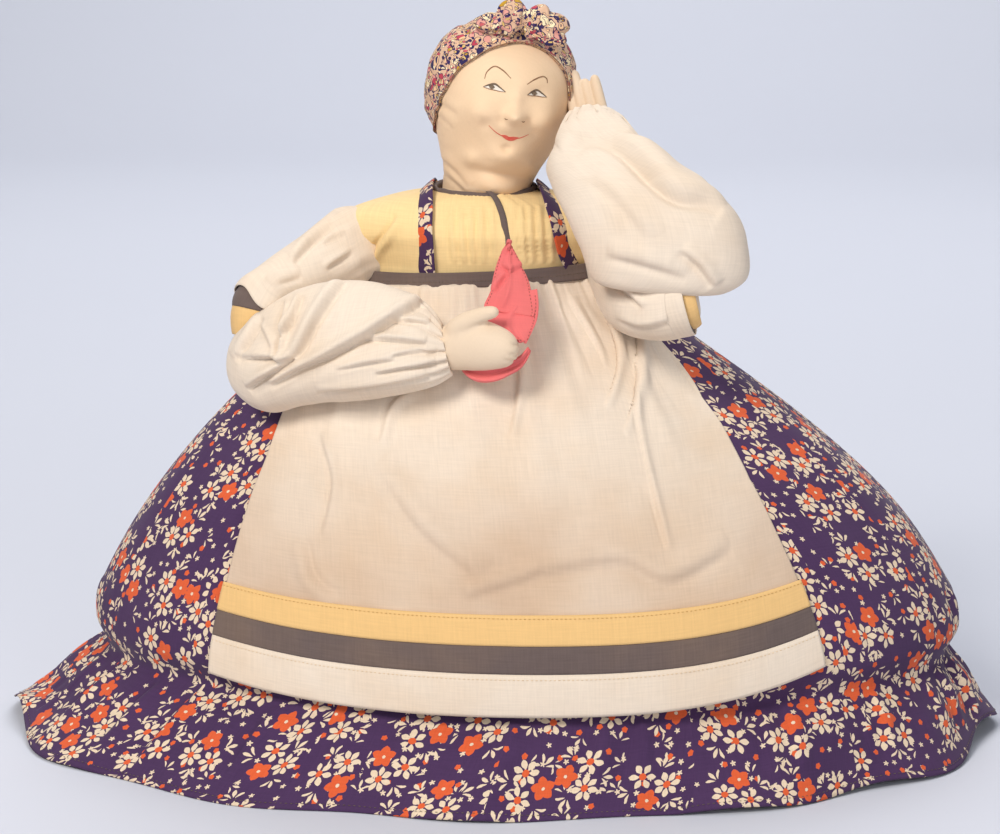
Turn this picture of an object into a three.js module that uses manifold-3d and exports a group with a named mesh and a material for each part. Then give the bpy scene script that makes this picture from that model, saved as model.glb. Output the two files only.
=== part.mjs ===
// Tea cosy doll: a stuffed cloth peasant woman whose wide skirt hides a padded dome for a teapot.
// Millimetres, +Z up. The doll faces -Y and its right arm is at -X.
// The origin is on the table under the middle of the skirt's hem.
import * as THREE from "three";
import { mergeVertices } from "three/addons/utils/BufferGeometryUtils.js";
import Module from "manifold-3d";

// Skirt and the padded dome inside it
const HEM_HALF_WIDTH = 268;
const HEM_HALF_DEPTH = 172;
const BASE_HALF_WIDTH = 230; // where the skirt bends out over the table
const BASE_HALF_DEPTH = 143;
const BASE_X = 14;
const CREASE_HEIGHT = 46; // height of that bend
const BELL_POWER = 1.15; // how far the skirt hangs in below the chest before it swells
const FLOUNCE_POWER = 1.5; // how the hem flares out below the bend
const FOLD_COUNT = 12;
const FOLD_DEPTH = 6; // hanging folds at the sides and back
const FLOUNCE_WAVE = 8; // how far the hem is drawn in between its folds
const SKIRT_CLOTH = 1.2;
const PADDING = 10;
const PADDING_TOP = 10; // the dome stops this far below the chest band's middle
const LINING_CLOTH = 1.2;

// Stuffed body and its clothes
const CHEST_HEIGHT = 246; // middle of the chest band
const TORSO_X = -8; // the chest leans to the doll's right of the hem's middle, the skirt's base to its left
const CHEST_HALF_WIDTH = 61;
const CHEST_HALF_DEPTH = 38;
const SHOULDER_HALF_WIDTH = 72;
const SHOULDER_RISE = 20; // above the chest band's middle
const TORSO_RISE = 39;
const TORSO_DROP = 9;
const BLOUSE_CLOTH = 1.1;
const BLOUSE_TUCK = 4;
const BAND_HEIGHT = 7;
const BAND_CLOTH = 1.3;
const STRAP_WIDTH = 12;
const STRAP_CLOTH = 1;
const STRAP_OFFSET = 31; // strap's middle from the middle of the body
const NECK_RADIUS = 23.5;
const NECK_RISE = 37; // centre of the neck's round end above the chest band
const BINDING_HEIGHT = 4;
const BINDING_CLOTH = 1.6;
const PLACKET_WIDTH = 3.6;
const PLACKET_CLOTH = 1.2;
const PLACKET_SWAY = 13; // how far the slit's binding wanders to the doll's left

// Head and scarf, in the head's own frame above the neck's round end
const HEAD_ROLL = 12; // degrees towards the raised hand
const HEAD_RISE = 46;
const HEAD_FORWARD = 5;
const HEAD_HALF_WIDTH = 35;
const HEAD_HALF_DEPTH = 35;
const HEAD_HALF_HEIGHT = 41;
const NOSE = { side: 6, forward: 33.5, down: 1, radius: 5.5 };
const SCARF_CLOTH = 2.1;
const SCARF_EDGE_UP = 33; // the scarf's front edge on the forehead
const SCARF_EDGE_FORWARD = 21;
const SCARF_EDGE_SLOPE = 62; // degrees, down to the nape
const KNOT = { side: 4, forward: 17, up: 45, half: 14, thick: 10, tall: 12 };

// Arms: shoulder and elbow are round so that the cloth can turn there
const RIGHT_SHOULDER = [-77, -6, 15]; // from the middle of the chest band
const LEFT_SHOULDER = [78, 2, 24];
const RIGHT_UPPER_WAY = [-38, -55, -54];
const LEFT_UPPER_WAY = [28, -72, -15];
const RIGHT_FORE_WAY = [94, -22, 6];
const LEFT_FORE_WAY = [-56, 58, 78];
const RIGHT_SHOULDER_TURN = { axis: [-1, 0, 0], degrees: 40 }; // how far each joint turns, and about what
const LEFT_SHOULDER_TURN = { axis: [0, 0, 1], degrees: 35 };
const RIGHT_ELBOW_TURN = { axis: [0, 0, -1], degrees: 28 };
const LEFT_ELBOW_TURN = { axis: [0, 1, 0], degrees: 30 };
const UPPER_ARM_LENGTH = 84;
const FOREARM_LENGTH = 101;
const ARM_RADIUS = 9;
const SHOULDER_RADIUS = 20;
const ELBOW_RADIUS = 17;
const SLEEVE_SWELL = 4; // extra radius half way down the upper sleeve
const SLEEVE_BAND = 8; // grey, then yellow, round the elbow
const RIGHT_BAG = { tall: 30, thick: 20 }; // largest half sizes of each baggy lower sleeve
const LEFT_BAG = { wide: 40, thick: 20 };
const HAND_LENGTH = 40;
const HAND_HALF_WIDTH = 16;
const HAND_HALF_THICKNESS = 9;

// Apron
const APRON_HALF_ANGLE = 41; // degrees round the skirt, at the hem
const APRON_TURN = -4; // it hangs a little to the doll's right
const APRON_TOP_SPREAD = 34; // more at the chest band
const APRON_HEM_HEIGHT = 50;
const APRON_FOLD_HEIGHT = 148; // the loose lower part lifts about this line
const APRON_LAP = 6; // the lower part lies this far over the upper part
const APRON_CLOTH = 1.2;
const APRON_GATHER = 3;
const APRON_GATHER_COUNT = 7;
const HEM_BAND = 20;
const GREY_BAND = 13;
const YELLOW_BAND = 14;

// Kerchief in the right hand
const KERCHIEF = { side: 18, point: 55, tail: 22, cloth: 2.4, lean: 33 }; // degrees back on the chest

const GAP = 0.5; // between pieces that lie against each other
const LAP_GAP = 0.35; // under the loose part of the apron
const JOINT_GAP = 0.7; // between pieces that turn on each other
const BIG = 600; // cutting blocks

const wasm = await Module();
wasm.setup();

const vec = (x, y, z) => new THREE.Vector3(x, y, z);
const radians = THREE.MathUtils.degToRad;

// Solids in and out of the boolean library
function solidOf(geometry) {
  const bare = geometry.index ? geometry.toNonIndexed() : geometry.clone();
  bare.deleteAttribute("normal");
  bare.deleteAttribute("uv");
  const merged = mergeVertices(bare, 1e-3);
  return new wasm.Manifold(
    new wasm.Mesh({
      numProp: 3,
      vertProperties: merged.attributes.position.array,
      triVerts: new Uint32Array(merged.index.array),
    }),
  );
}

function geometryOf(solid) {
  const mesh = solid.getMesh();
  const geometry = new THREE.BufferGeometry();
  geometry.setAttribute("position", new THREE.BufferAttribute(mesh.vertProperties, 3));
  geometry.setIndex(new THREE.BufferAttribute(mesh.triVerts, 1));
  return geometry;
}

const join = (...geometries) => geometryOf(geometries.map(solidOf).reduce((a, b) => a.add(b)));
const cut = (geometry, ...tools) =>
  geometryOf(tools.map(solidOf).reduce((a, b) => a.subtract(b), solidOf(geometry)));
const common = (a, b) => geometryOf(solidOf(a).intersect(solidOf(b)));

// Closed skin over a grid of points: u goes round, and the first and last rows are single points
function skin(point, columns, rows) {
  const points = [];
  for (let j = 0; j <= rows; j++)
    for (let i = 0; i < columns; i++) points.push(point(i / columns, j / rows));
  const index = [];
  for (let j = 0; j < rows; j++)
    for (let i = 0; i < columns; i++) {
      const a = j * columns + i;
      const b = j * columns + ((i + 1) % columns);
      index.push(a, b, a + columns, b, b + columns, a + columns);
    }
  return facingOut(points, index);
}

// Cloth of some thickness between an outside and an inside surface. Round cloth closes on itself in u.
function cloth(outside, inside, columns, rows, round = false) {
  const across = round ? columns : columns + 1;
  const side = across * (rows + 1);
  const points = [];
  for (const surface of [outside, inside])
    for (let j = 0; j <= rows; j++)
      for (let i = 0; i < across; i++) points.push(surface(i / columns, j / rows));
  const index = [];
  const quad = (a, b, c, d) => index.push(a, b, c, a, c, d);
  const at = (i, j) => j * across + (i % across);
  for (let j = 0; j < rows; j++)
    for (let i = 0; i < columns; i++) {
      quad(at(i, j), at(i, j + 1), at(i + 1, j + 1), at(i + 1, j));
      quad(side + at(i, j), side + at(i + 1, j), side + at(i + 1, j + 1), side + at(i, j + 1));
    }
  for (let i = 0; i < columns; i++) {
    quad(at(i, 0), at(i + 1, 0), side + at(i + 1, 0), side + at(i, 0));
    quad(at(i, rows), side + at(i, rows), side + at(i + 1, rows), at(i + 1, rows));
  }
  for (let j = 0; !round && j < rows; j++) {
    quad(at(0, j), side + at(0, j), side + at(0, j + 1), at(0, j + 1));
    quad(at(columns, j), at(columns, j + 1), side + at(columns, j + 1), side + at(columns, j));
  }
  return facingOut(points, index);
}

function facingOut(points, index) {
  const geometry = new THREE.BufferGeometry().setFromPoints(points);
  geometry.setIndex(index);
  let volume = 0;
  for (let i = 0; i < index.length; i += 3) {
    const [a, b, c] = [points[index[i]], points[index[i + 1]], points[index[i + 2]]];
    volume += a.dot(b.clone().cross(c));
  }
  if (volume < 0) geometry.setIndex([...index].reverse());
  return geometry;
}

// Stuffed limb: oval sections on a smooth line, closed with a point at each end.
// Each station is [x, y, z, half width, half thickness]; the widths lie along `wide`.
function limb(stations, wide, columns = 14, rows = 12) {
  const line = new THREE.CatmullRomCurve3(stations.map(([x, y, z]) => vec(x, y, z)));
  const sizes = new THREE.CatmullRomCurve3(stations.map(([, , , w, t]) => vec(w, t, 0)));
  return skin(
    (u, v) => {
      const centre = line.getPoint(v);
      const along = line.getTangent(v);
      const thick = along.clone().cross(wide).normalize();
      const across = thick.clone().cross(along).normalize();
      const size = sizes.getPoint(v);
      const end = v === 0 || v === 1 ? 0 : 1;
      const angle = 2 * Math.PI * u;
      return centre
        .addScaledVector(across, end * size.x * Math.cos(angle))
        .addScaledVector(thick, end * size.y * Math.sin(angle));
    },
    columns,
    rows,
  );
}

const ball = (centre, radius, detail = 18) =>
  new THREE.SphereGeometry(radius, detail, detail * 0.6).translate(centre.x, centre.y, centre.z);

const block = (low, high) =>
  new THREE.BoxGeometry(high[0] - low[0], high[1] - low[1], high[2] - low[2]).translate(
    (low[0] + high[0]) / 2,
    (low[1] + high[1]) / 2,
    (low[2] + high[2]) / 2,
  );

// Skirt: half width and half depth at each height, and the folds hanging in it
const WAIST_HALF_WIDTH = CHEST_HALF_WIDTH + GAP + BLOUSE_CLOTH + GAP + SKIRT_CLOTH;
const WAIST_HALF_DEPTH = CHEST_HALF_DEPTH + GAP + BLOUSE_CLOTH + GAP + SKIRT_CLOTH;

// Heights of the rows of points: shares of the drop from chest to bend, then of the flounce
const SKIRT_HEIGHTS = [
  ...[1, 0.91, 0.78, 0.6, 0.4, 0.18, 0].map((share) =>
    THREE.MathUtils.lerp(CREASE_HEIGHT, CHEST_HEIGHT, share),
  ),
  ...[0.55, 0].map((share) => CREASE_HEIGHT * share),
];
const SKIRT_COLUMNS = 4 * FOLD_COUNT;

// Half width, half depth and middle of the skirt at a height, straight between its rows
function domeSection(height) {
  const level = THREE.MathUtils.clamp(height, 0, CHEST_HEIGHT);
  const row = Math.max(1, SKIRT_HEIGHTS.findIndex((h) => h <= level));
  const [high, low] = [SKIRT_HEIGHTS[row - 1], SKIRT_HEIGHTS[row]];
  const swellAt = (h) => {
    const fall = THREE.MathUtils.clamp((CHEST_HEIGHT - h) / (CHEST_HEIGHT - CREASE_HEIGHT), 0, 1);
    return Math.sin((Math.PI / 2) * fall) ** BELL_POWER;
  };
  const swell = THREE.MathUtils.lerp(swellAt(high), swellAt(low), (high - level) / (high - low));
  return [
    THREE.MathUtils.lerp(WAIST_HALF_WIDTH, BASE_HALF_WIDTH, swell),
    THREE.MathUtils.lerp(WAIST_HALF_DEPTH, BASE_HALF_DEPTH, swell),
    THREE.MathUtils.lerp(TORSO_X, BASE_X, swell),
  ];
}

// The front under the apron hangs smooth; the folds come in from its edges
function foldAt(angle, height) {
  const fromFront = Math.abs(THREE.MathUtils.radToDeg(angle));
  const open = THREE.MathUtils.smoothstep(fromFront, APRON_HALF_ANGLE + 18, APRON_HALF_ANGLE + 40);
  const fall = THREE.MathUtils.clamp((CHEST_HEIGHT - height) / (CHEST_HEIGHT - CREASE_HEIGHT), 0, 1);
  const depth = FOLD_DEPTH * Math.sin(Math.PI * fall);
  return open * depth * (0.5 - 0.5 * Math.cos(FOLD_COUNT * angle));
}

// A point on the skirt at an angle from the front, positive to +X, pushed in or out by `offset`
function skirtPoint(angle, height, offset = 0) {
  let [a, b, middle] = domeSection(height);
  if (height < CREASE_HEIGHT) {
    const flare = ((CREASE_HEIGHT - height) / CREASE_HEIGHT) ** FLOUNCE_POWER;
    const wave = FLOUNCE_WAVE * (0.5 - 0.5 * Math.cos(FOLD_COUNT * angle));
    middle -= BASE_X * flare;
    a += (HEM_HALF_WIDTH - BASE_HALF_WIDTH - wave) * flare;
    b += (HEM_HALF_DEPTH - BASE_HALF_DEPTH - wave) * flare;
  }
  const out = foldAt(angle, height) + offset;
  return vec(middle + (a + out) * Math.sin(angle), -(b + out) * Math.cos(angle), height);
}

function skirt() {
  const last = SKIRT_HEIGHTS.length - 1;
  const surface = (offset) => (u, v) =>
    skirtPoint(2 * Math.PI * u - Math.PI, SKIRT_HEIGHTS[Math.round(v * last)], offset);
  return cloth(surface(0), surface(-SKIRT_CLOTH), SKIRT_COLUMNS, last, true);
}

// Closed dome under the skirt, its wall upright below the bend
function dome(offset, top, bottom, columns = SKIRT_COLUMNS / 2) {
  const wall = SKIRT_HEIGHTS.filter((height) => height < top && height >= CREASE_HEIGHT);
  const heights = [top, top, ...wall, bottom, bottom];
  const last = heights.length - 1;
  return skin(
    (u, v) => {
      const row = Math.round(v * last);
      const [a, b, middle] = domeSection(heights[row]);
      const size = row === 0 || row === last ? 0 : 1;
      const angle = 2 * Math.PI * u;
      return vec(
        middle + size * (a - offset) * Math.sin(angle),
        -size * (b - offset) * Math.cos(angle),
        heights[row],
      );
    },
    columns,
    last,
  );
}

const PADDING_OUT = SKIRT_CLOTH + GAP;
const PADDING_CEILING = CHEST_HEIGHT - PADDING_TOP;
const LINING_OUT = PADDING_OUT + PADDING + GAP;

const cosyPadding = () =>
  cut(
    dome(PADDING_OUT, PADDING_CEILING, 0),
    dome(PADDING_OUT + PADDING, PADDING_CEILING - PADDING, -PADDING),
  );

const cosyLining = () =>
  cut(
    dome(LINING_OUT, PADDING_CEILING - PADDING - GAP, 0),
    dome(LINING_OUT + LINING_CLOTH, PADDING_CEILING - PADDING - GAP - LINING_CLOTH, -PADDING),
  );

// Torso: half width, half depth and height above the chest band, from waist to neck
function torso(offset = 0) {
  const half = BAND_HEIGHT / 2;
  const line = new THREE.CatmullRomCurve3(
    [
      vec(CHEST_HALF_WIDTH * 0.86, CHEST_HALF_DEPTH * 0.86, -TORSO_DROP),
      vec(CHEST_HALF_WIDTH, CHEST_HALF_DEPTH, -half),
      vec(CHEST_HALF_WIDTH, CHEST_HALF_DEPTH, half + 1),
      vec(SHOULDER_HALF_WIDTH - 7, CHEST_HALF_DEPTH + 4, SHOULDER_RISE - 8),
      vec(SHOULDER_HALF_WIDTH, CHEST_HALF_DEPTH + 3, SHOULDER_RISE),
      vec(SHOULDER_HALF_WIDTH - 5, CHEST_HALF_DEPTH - 1, SHOULDER_RISE + 7),
      vec(NECK_RADIUS + 22, NECK_RADIUS + 7, TORSO_RISE - 5),
      vec(NECK_RADIUS + 3, NECK_RADIUS + 1, TORSO_RISE),
    ],
    false,
    "centripetal",
  );
  const rows = 10;
  return skin(
    (u, v) => {
      const share = THREE.MathUtils.clamp((v * rows - 1) / (rows - 2), 0, 1);
      const at = line.getPoint(share);
      const way = line.getTangent(share);
      const slope = Math.hypot(way.x, way.z);
      const out = (offset * way.z) / slope;
      const up = (-offset * way.x) / slope;
      const size = v === 0 || v === 1 ? 0 : 1;
      const angle = 2 * Math.PI * u;
      return vec(
        TORSO_X + size * (at.x + out) * Math.cos(angle),
        size * (at.y + out) * Math.sin(angle),
        CHEST_HEIGHT + at.z + up,
      );
    },
    22,
    rows,
  );
}

const chestPoint = (p) => vec(TORSO_X + p[0], p[1], CHEST_HEIGHT + p[2]);
const NECK = vec(TORSO_X, 0, CHEST_HEIGHT + NECK_RISE);
const BLOUSE_OUT = GAP + BLOUSE_CLOTH;
const STRAP_OUT = BLOUSE_OUT + GAP;
const BINDING_INNER = NECK_RADIUS + JOINT_GAP + GAP;
const BINDING_OUTER = BINDING_INNER + BINDING_CLOTH;

const neckSocket = () => ball(NECK, NECK_RADIUS + JOINT_GAP, 20);
const armholes = () => [RIGHT, LEFT].map((arm) => ball(arm.shoulder, SHOULDER_RADIUS + JOINT_GAP));

function blouse() {
  const below = block([-BIG, -BIG, -BIG], [BIG, BIG, CHEST_HEIGHT - BLOUSE_TUCK]);
  return cut(torso(BLOUSE_OUT), torso(GAP), below, neckSocket(), ...armholes());
}

function strap(side) {
  const middle = TORSO_X + side * STRAP_OFFSET;
  const slice = block(
    [middle - STRAP_WIDTH / 2, -BIG, CHEST_HEIGHT + BAND_HEIGHT / 2 + GAP],
    [middle + STRAP_WIDTH / 2, BIG, BIG],
  );
  const collar = new THREE.CylinderGeometry(BINDING_OUTER + GAP, BINDING_OUTER + GAP, TORSO_RISE, 20)
    .rotateX(Math.PI / 2)
    .translate(NECK.x, NECK.y, CHEST_HEIGHT + TORSO_RISE);
  return common(cut(torso(STRAP_OUT + STRAP_CLOTH), torso(STRAP_OUT), collar), slice);
}

// Band over the seam of blouse and skirt, its lower half spread by the skirt
function chestBand() {
  const ring = (out) => (u, v) => {
    const angle = 2 * Math.PI * u;
    const height = CHEST_HEIGHT + BAND_HEIGHT * (0.5 - v);
    const [a, b, middle] = domeSection(Math.min(height, CHEST_HEIGHT));
    return vec(middle + (a + out) * Math.sin(angle), -(b + out) * Math.cos(angle), height);
  };
  return cloth(ring(GAP + BAND_CLOTH), ring(GAP), SKIRT_COLUMNS, 2, true);
}

// Ring of binding round the neck, resting on the blouse's neckline
function neckBinding() {
  const half = BINDING_HEIGHT / 2;
  const profile = [
    [BINDING_INNER, -half],
    [BINDING_OUTER - 0.4, -half],
    [BINDING_OUTER, 0],
    [BINDING_OUTER - 0.4, half],
    [BINDING_INNER, half],
    [BINDING_INNER, -half],
  ].map(([r, y]) => new THREE.Vector2(r, y));
  const low = CHEST_HEIGHT + TORSO_RISE + BLOUSE_OUT + GAP;
  return new THREE.LatheGeometry(profile, 20).rotateX(Math.PI / 2).translate(NECK.x, NECK.y, low + half);
}

// Binding of the slit down the front of the blouse, swaying to the doll's left
function placketBinding() {
  const top = CHEST_HEIGHT + TORSO_RISE - 4;
  const bottom = CHEST_HEIGHT + BAND_HEIGHT / 2 + GAP;
  const lane = cut(torso(STRAP_OUT + PLACKET_CLOTH), torso(STRAP_OUT));
  const sway = (v) => PLACKET_SWAY * Math.sin((Math.PI / 2) * v);
  const edge = (y, side) => (u, v) =>
    vec(
      TORSO_X + sway(v) + side * (u - 0.5) * PLACKET_WIDTH,
      y,
      THREE.MathUtils.lerp(top, bottom, v),
    );
  return common(lane, cloth(edge(-BIG, 1), edge(-NECK_RADIUS + 4, 1), 1, 6));
}

// Head: egg, neck and nose in one stuffed piece, leaning on the raised hand
const HEAD_FRAME = new THREE.Matrix4()
  .makeRotationY(radians(HEAD_ROLL))
  .setPosition(NECK);

const egg = (out = 0) =>
  new THREE.SphereGeometry(1, 20, 12)
    .rotateX(Math.PI / 2)
    .scale(HEAD_HALF_WIDTH + out, HEAD_HALF_DEPTH + out, HEAD_HALF_HEIGHT + out)
    .translate(0, -HEAD_FORWARD, HEAD_RISE);

const neck = (out = 0) =>
  new THREE.LatheGeometry(
    [
      [0, 0],
      [NECK_RADIUS - 0.5, 0],
      [NECK_RADIUS - 2, HEAD_RISE * 0.3],
      [NECK_RADIUS, HEAD_RISE * 0.55],
      [0, HEAD_RISE],
    ].map(([r, y]) => new THREE.Vector2(r ? r + out : 0, y)),
    20,
  ).rotateX(Math.PI / 2);

function head() {
  const nose = ball(vec(NOSE.side, -HEAD_FORWARD - NOSE.forward, HEAD_RISE - NOSE.down), NOSE.radius, 10);
  return join(egg(), neck(), ball(vec(0, 0, 0), NECK_RADIUS), nose).applyMatrix4(HEAD_FRAME);
}

// Scarf: a cap over the skull, open in front along a slanting edge
function scarfWrap() {
  const face = new THREE.BoxGeometry(BIG, BIG, BIG)
    .translate(0, -BIG / 2, 0)
    .rotateX(radians(90 - SCARF_EDGE_SLOPE))
    .translate(0, -HEAD_FORWARD - SCARF_EDGE_FORWARD, HEAD_RISE + SCARF_EDGE_UP);
  return cut(egg(GAP + SCARF_CLOTH), egg(GAP), face, neck(GAP)).applyMatrix4(HEAD_FRAME);
}

// Knot: two puffed loops and the wrap between them, on top of the brow
function scarfKnot() {
  const middle = [KNOT.side, -HEAD_FORWARD - KNOT.forward, HEAD_RISE + KNOT.up];
  const loop = (side) =>
    new THREE.SphereGeometry(1, 10, 7)
      .scale(KNOT.half, KNOT.thick, KNOT.tall * 0.8)
      .rotateY(radians(side * 18))
      .translate(middle[0] + side * KNOT.half * 0.75, middle[1], middle[2]);
  const wrap = new THREE.SphereGeometry(1, 10, 7)
    .scale(KNOT.half * 0.5, KNOT.thick * 1.1, KNOT.tall)
    .translate(...middle);
  return cut(join(loop(-1), loop(1), wrap), egg(GAP + SCARF_CLOTH + GAP)).applyMatrix4(HEAD_FRAME);
}

// Arms
function armPoints(shoulderAt, upperWay, foreWay, shoulderTurn, elbowTurn) {
  const shoulder = chestPoint(shoulderAt);
  const upper = vec(...upperWay).normalize();
  const elbow = shoulder.clone().addScaledVector(upper, UPPER_ARM_LENGTH);
  const fore = vec(...foreWay).normalize();
  const wrist = elbow.clone().addScaledVector(fore, FOREARM_LENGTH);
  return { shoulder, upper, elbow, fore, wrist, shoulderTurn, elbowTurn };
}
const RIGHT = armPoints(
  RIGHT_SHOULDER,
  RIGHT_UPPER_WAY,
  RIGHT_FORE_WAY,
  RIGHT_SHOULDER_TURN,
  RIGHT_ELBOW_TURN,
);
const LEFT = armPoints(
  LEFT_SHOULDER,
  LEFT_UPPER_WAY,
  LEFT_FORE_WAY,
  LEFT_SHOULDER_TURN,
  LEFT_ELBOW_TURN,
);

// A turned piece along the upper arm, from [distance from the shoulder, radius] points
function turnedOnUpperArm(arm, points) {
  const turn = new THREE.Quaternion().setFromUnitVectors(vec(0, 1, 0), arm.upper);
  return new THREE.LatheGeometry(points.map(([s, r]) => new THREE.Vector2(r, s)), 16)
    .applyQuaternion(turn)
    .translate(arm.shoulder.x, arm.shoulder.y, arm.shoulder.z);
}

const roundEnd = (centre, radius, from, to, steps) =>
  Array.from({ length: steps + 1 }, (_, i) => {
    const angle = radians(THREE.MathUtils.lerp(from, to, i / steps));
    return [centre + radius * Math.cos(angle), radius * Math.sin(angle)];
  });

const BORE = ARM_RADIUS + GAP;
const BANDS_START = UPPER_ARM_LENGTH - SLEEVE_BAND;
const GREY_START = BANDS_START - SLEEVE_BAND - GAP;

// Radius of the upper sleeve at a distance from the shoulder
function sleeveRadius(s) {
  const share = THREE.MathUtils.clamp(s / UPPER_ARM_LENGTH, 0, 1);
  const taper = THREE.MathUtils.lerp(SHOULDER_RADIUS, ELBOW_RADIUS, share);
  return taper + SLEEVE_SWELL * Math.sin(Math.PI * share);
}

function upperSleeve(arm) {
  const back = -Math.sqrt(SHOULDER_RADIUS ** 2 - BORE ** 2);
  const rim = THREE.MathUtils.radToDeg(Math.asin(BORE / SHOULDER_RADIUS));
  const cap = roundEnd(0, SHOULDER_RADIUS, 180 - rim, 90, 6);
  const end = GREY_START - GAP;
  const side = [0.3, 0.65, 1].map((share) => [share * end, sleeveRadius(share * end)]);
  return turnedOnUpperArm(arm, [...cap, ...side, [end, BORE], [back, BORE]]);
}

function sleeveGreyBand(arm) {
  const end = BANDS_START - GAP;
  return turnedOnUpperArm(arm, [
    [GREY_START, BORE],
    [GREY_START, sleeveRadius(GREY_START)],
    [end, sleeveRadius(end)],
    [end, BORE],
    [GREY_START, BORE],
  ]);
}

function sleeveYellowBand(arm) {
  const tip = THREE.MathUtils.radToDeg(Math.asin(BORE / ELBOW_RADIUS));
  return turnedOnUpperArm(arm, [
    [BANDS_START, BORE],
    [BANDS_START, sleeveRadius(BANDS_START)],
    ...roundEnd(UPPER_ARM_LENGTH, ELBOW_RADIUS, 90, tip, 6),
    [BANDS_START, BORE],
  ]);
}

function upperArm(arm) {
  const back = roundEnd(0, ARM_RADIUS, 180, 90, 4);
  const front = roundEnd(UPPER_ARM_LENGTH, ARM_RADIUS, 90, 0, 4);
  return turnedOnUpperArm(arm, [...back, ...front]);
}

// A place along the forearm: 0 at the elbow, 1 at the wrist, moved by (x, y, z)
const onForearm = (arm, share, x = 0, y = 0, z = 0) => {
  const at = arm.elbow.clone().addScaledVector(arm.fore, share * FOREARM_LENGTH);
  return [at.x + x, at.y + y, at.z + z];
};

function forearm(arm, out = 0) {
  const radius = ARM_RADIUS + out;
  const shares = [-0.02, 0.06, 0.35, 0.7, 0.96, 1];
  const stations = shares.map((share) => [...onForearm(arm, share), radius, radius]);
  return limb(stations, vec(0, 1, 0), 12, 6);
}

// The clothed body, a little larger, that an arm rests on; its armhole stays open
function bodyRoom(arm) {
  const out = Math.max(FOLD_DEPTH, APRON_OUT + APRON_CLOTH + APRON_GATHER) + GAP;
  const chest = cut(torso(STRAP_OUT + STRAP_CLOTH + GAP), ball(arm.shoulder, SHOULDER_RADIUS + GAP));
  return join(chest, dome(-out, CHEST_HEIGHT + BAND_HEIGHT / 2 + GAP, CREASE_HEIGHT / 2, SKIRT_COLUMNS));
}

// What stays still while a joint turns, as the turning piece meets it
function throughTurn(centre, { axis, degrees }, still) {
  const { x, y, z } = centre;
  const steps = Math.ceil(degrees / 15);
  return Array.from({ length: steps + 1 }, (_, i) =>
    still
      .clone()
      .translate(-x, -y, -z)
      .applyQuaternion(new THREE.Quaternion().setFromAxisAngle(vec(...axis), radians((-degrees * i) / steps)))
      .translate(x, y, z),
  );
}

const besideBody = (arm, geometry) =>
  cut(geometry, ...throughTurn(arm.shoulder, arm.shoulderTurn, bodyRoom(arm)));

// Baggy lower sleeves: the right one hangs under its forearm, the left one fills the bend of its arm
// Each station: its place along the forearm, how far it is moved and its two half sizes, as shares of the bag
function rightLowerSleeve() {
  const stations = [
    [-0.17, -0.1, 0, -0.2, 0.17, 0.2],
    [-0.14, -0.1, 0, -0.2, 0.67, 0.7],
    [0, 0, 0, -0.15, 0.93, 1],
    [0.3, 0, -0.1, -0.1, 1, 1],
    [0.6, 0, -0.05, 0, 0.87, 0.9],
    [0.84, 0, 0, 0, 0.63, 0.75],
    [0.99, 0, 0, 0, 0.43, 0.6],
    [1, 0, 0, 0, 0.43, 0.6],
  ].map(([share, x, y, z, tall, thick]) => [
    ...onForearm(RIGHT, share, x * RIGHT_BAG.thick, y * RIGHT_BAG.thick, z * RIGHT_BAG.thick),
    tall * RIGHT_BAG.tall,
    thick * RIGHT_BAG.thick,
  ]);
  return lowerSleeve(RIGHT, limb(stations, vec(0, 0.35, 1), 14, 10));
}

function leftLowerSleeve() {
  const stations = [
    [-0.24, -0.35, 0.1, -0.25, 0.1, 0.15],
    [-0.2, -0.35, 0.1, -0.25, 0.7, 0.65],
    [0, -0.35, 0, -0.25, 1, 0.95],
    [0.25, -0.3, -0.1, -0.2, 0.98, 1],
    [0.5, -0.3, -0.1, -0.2, 0.8, 0.95],
    [0.75, -0.3, 0, -0.2, 0.6, 0.8],
    [0.99, 0, 0, 0, 0.35, 0.6],
    [1, 0, 0, 0, 0.35, 0.6],
  ].map(([share, x, y, z, wide, thick]) => [
    ...onForearm(LEFT, share, x * LEFT_BAG.thick, y * LEFT_BAG.thick, z * LEFT_BAG.thick),
    wide * LEFT_BAG.wide,
    thick * LEFT_BAG.thick,
  ]);
  return lowerSleeve(LEFT, limb(stations, vec(0.8, 0.1, 0.6), 14, 10));
}

const besideBodyAtElbow = (arm) => throughTurn(arm.elbow, arm.elbowTurn, bodyRoom(arm));

const lowerSleeve = (arm, bag) =>
  cut(bag, forearm(arm, GAP), ...elbowRoom(arm), ...besideBodyAtElbow(arm), headRoom());

// Room for the upper arm beside a forearm, all the way as the elbow turns, and for the head
function elbowRoom(arm) {
  const still = turnedOnUpperArm(arm, [
    [0, 0],
    ...[0, 0.25, 0.5, 0.75, 1].map((share) => [
      share * UPPER_ARM_LENGTH,
      sleeveRadius(share * UPPER_ARM_LENGTH) + JOINT_GAP,
    ]),
    [UPPER_ARM_LENGTH, 0],
  ]);
  return [ball(arm.elbow, ELBOW_RADIUS + JOINT_GAP), ...throughTurn(arm.elbow, arm.elbowTurn, still)];
}
const headRoom = () => egg(SCARF_CLOTH + 2 * GAP).applyMatrix4(HEAD_FRAME);

// A place along the hand: 0 at the wrist, 1 at the tips, moved by shares of the palm's half width
const onHand = (arm, share, x = 0, y = 0, z = 0) => {
  const at = arm.wrist.clone().addScaledVector(arm.fore, share * HAND_LENGTH);
  return [at.x + x * HAND_HALF_WIDTH, at.y + y * HAND_HALF_WIDTH, at.z + z * HAND_HALF_WIDTH];
};

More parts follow.
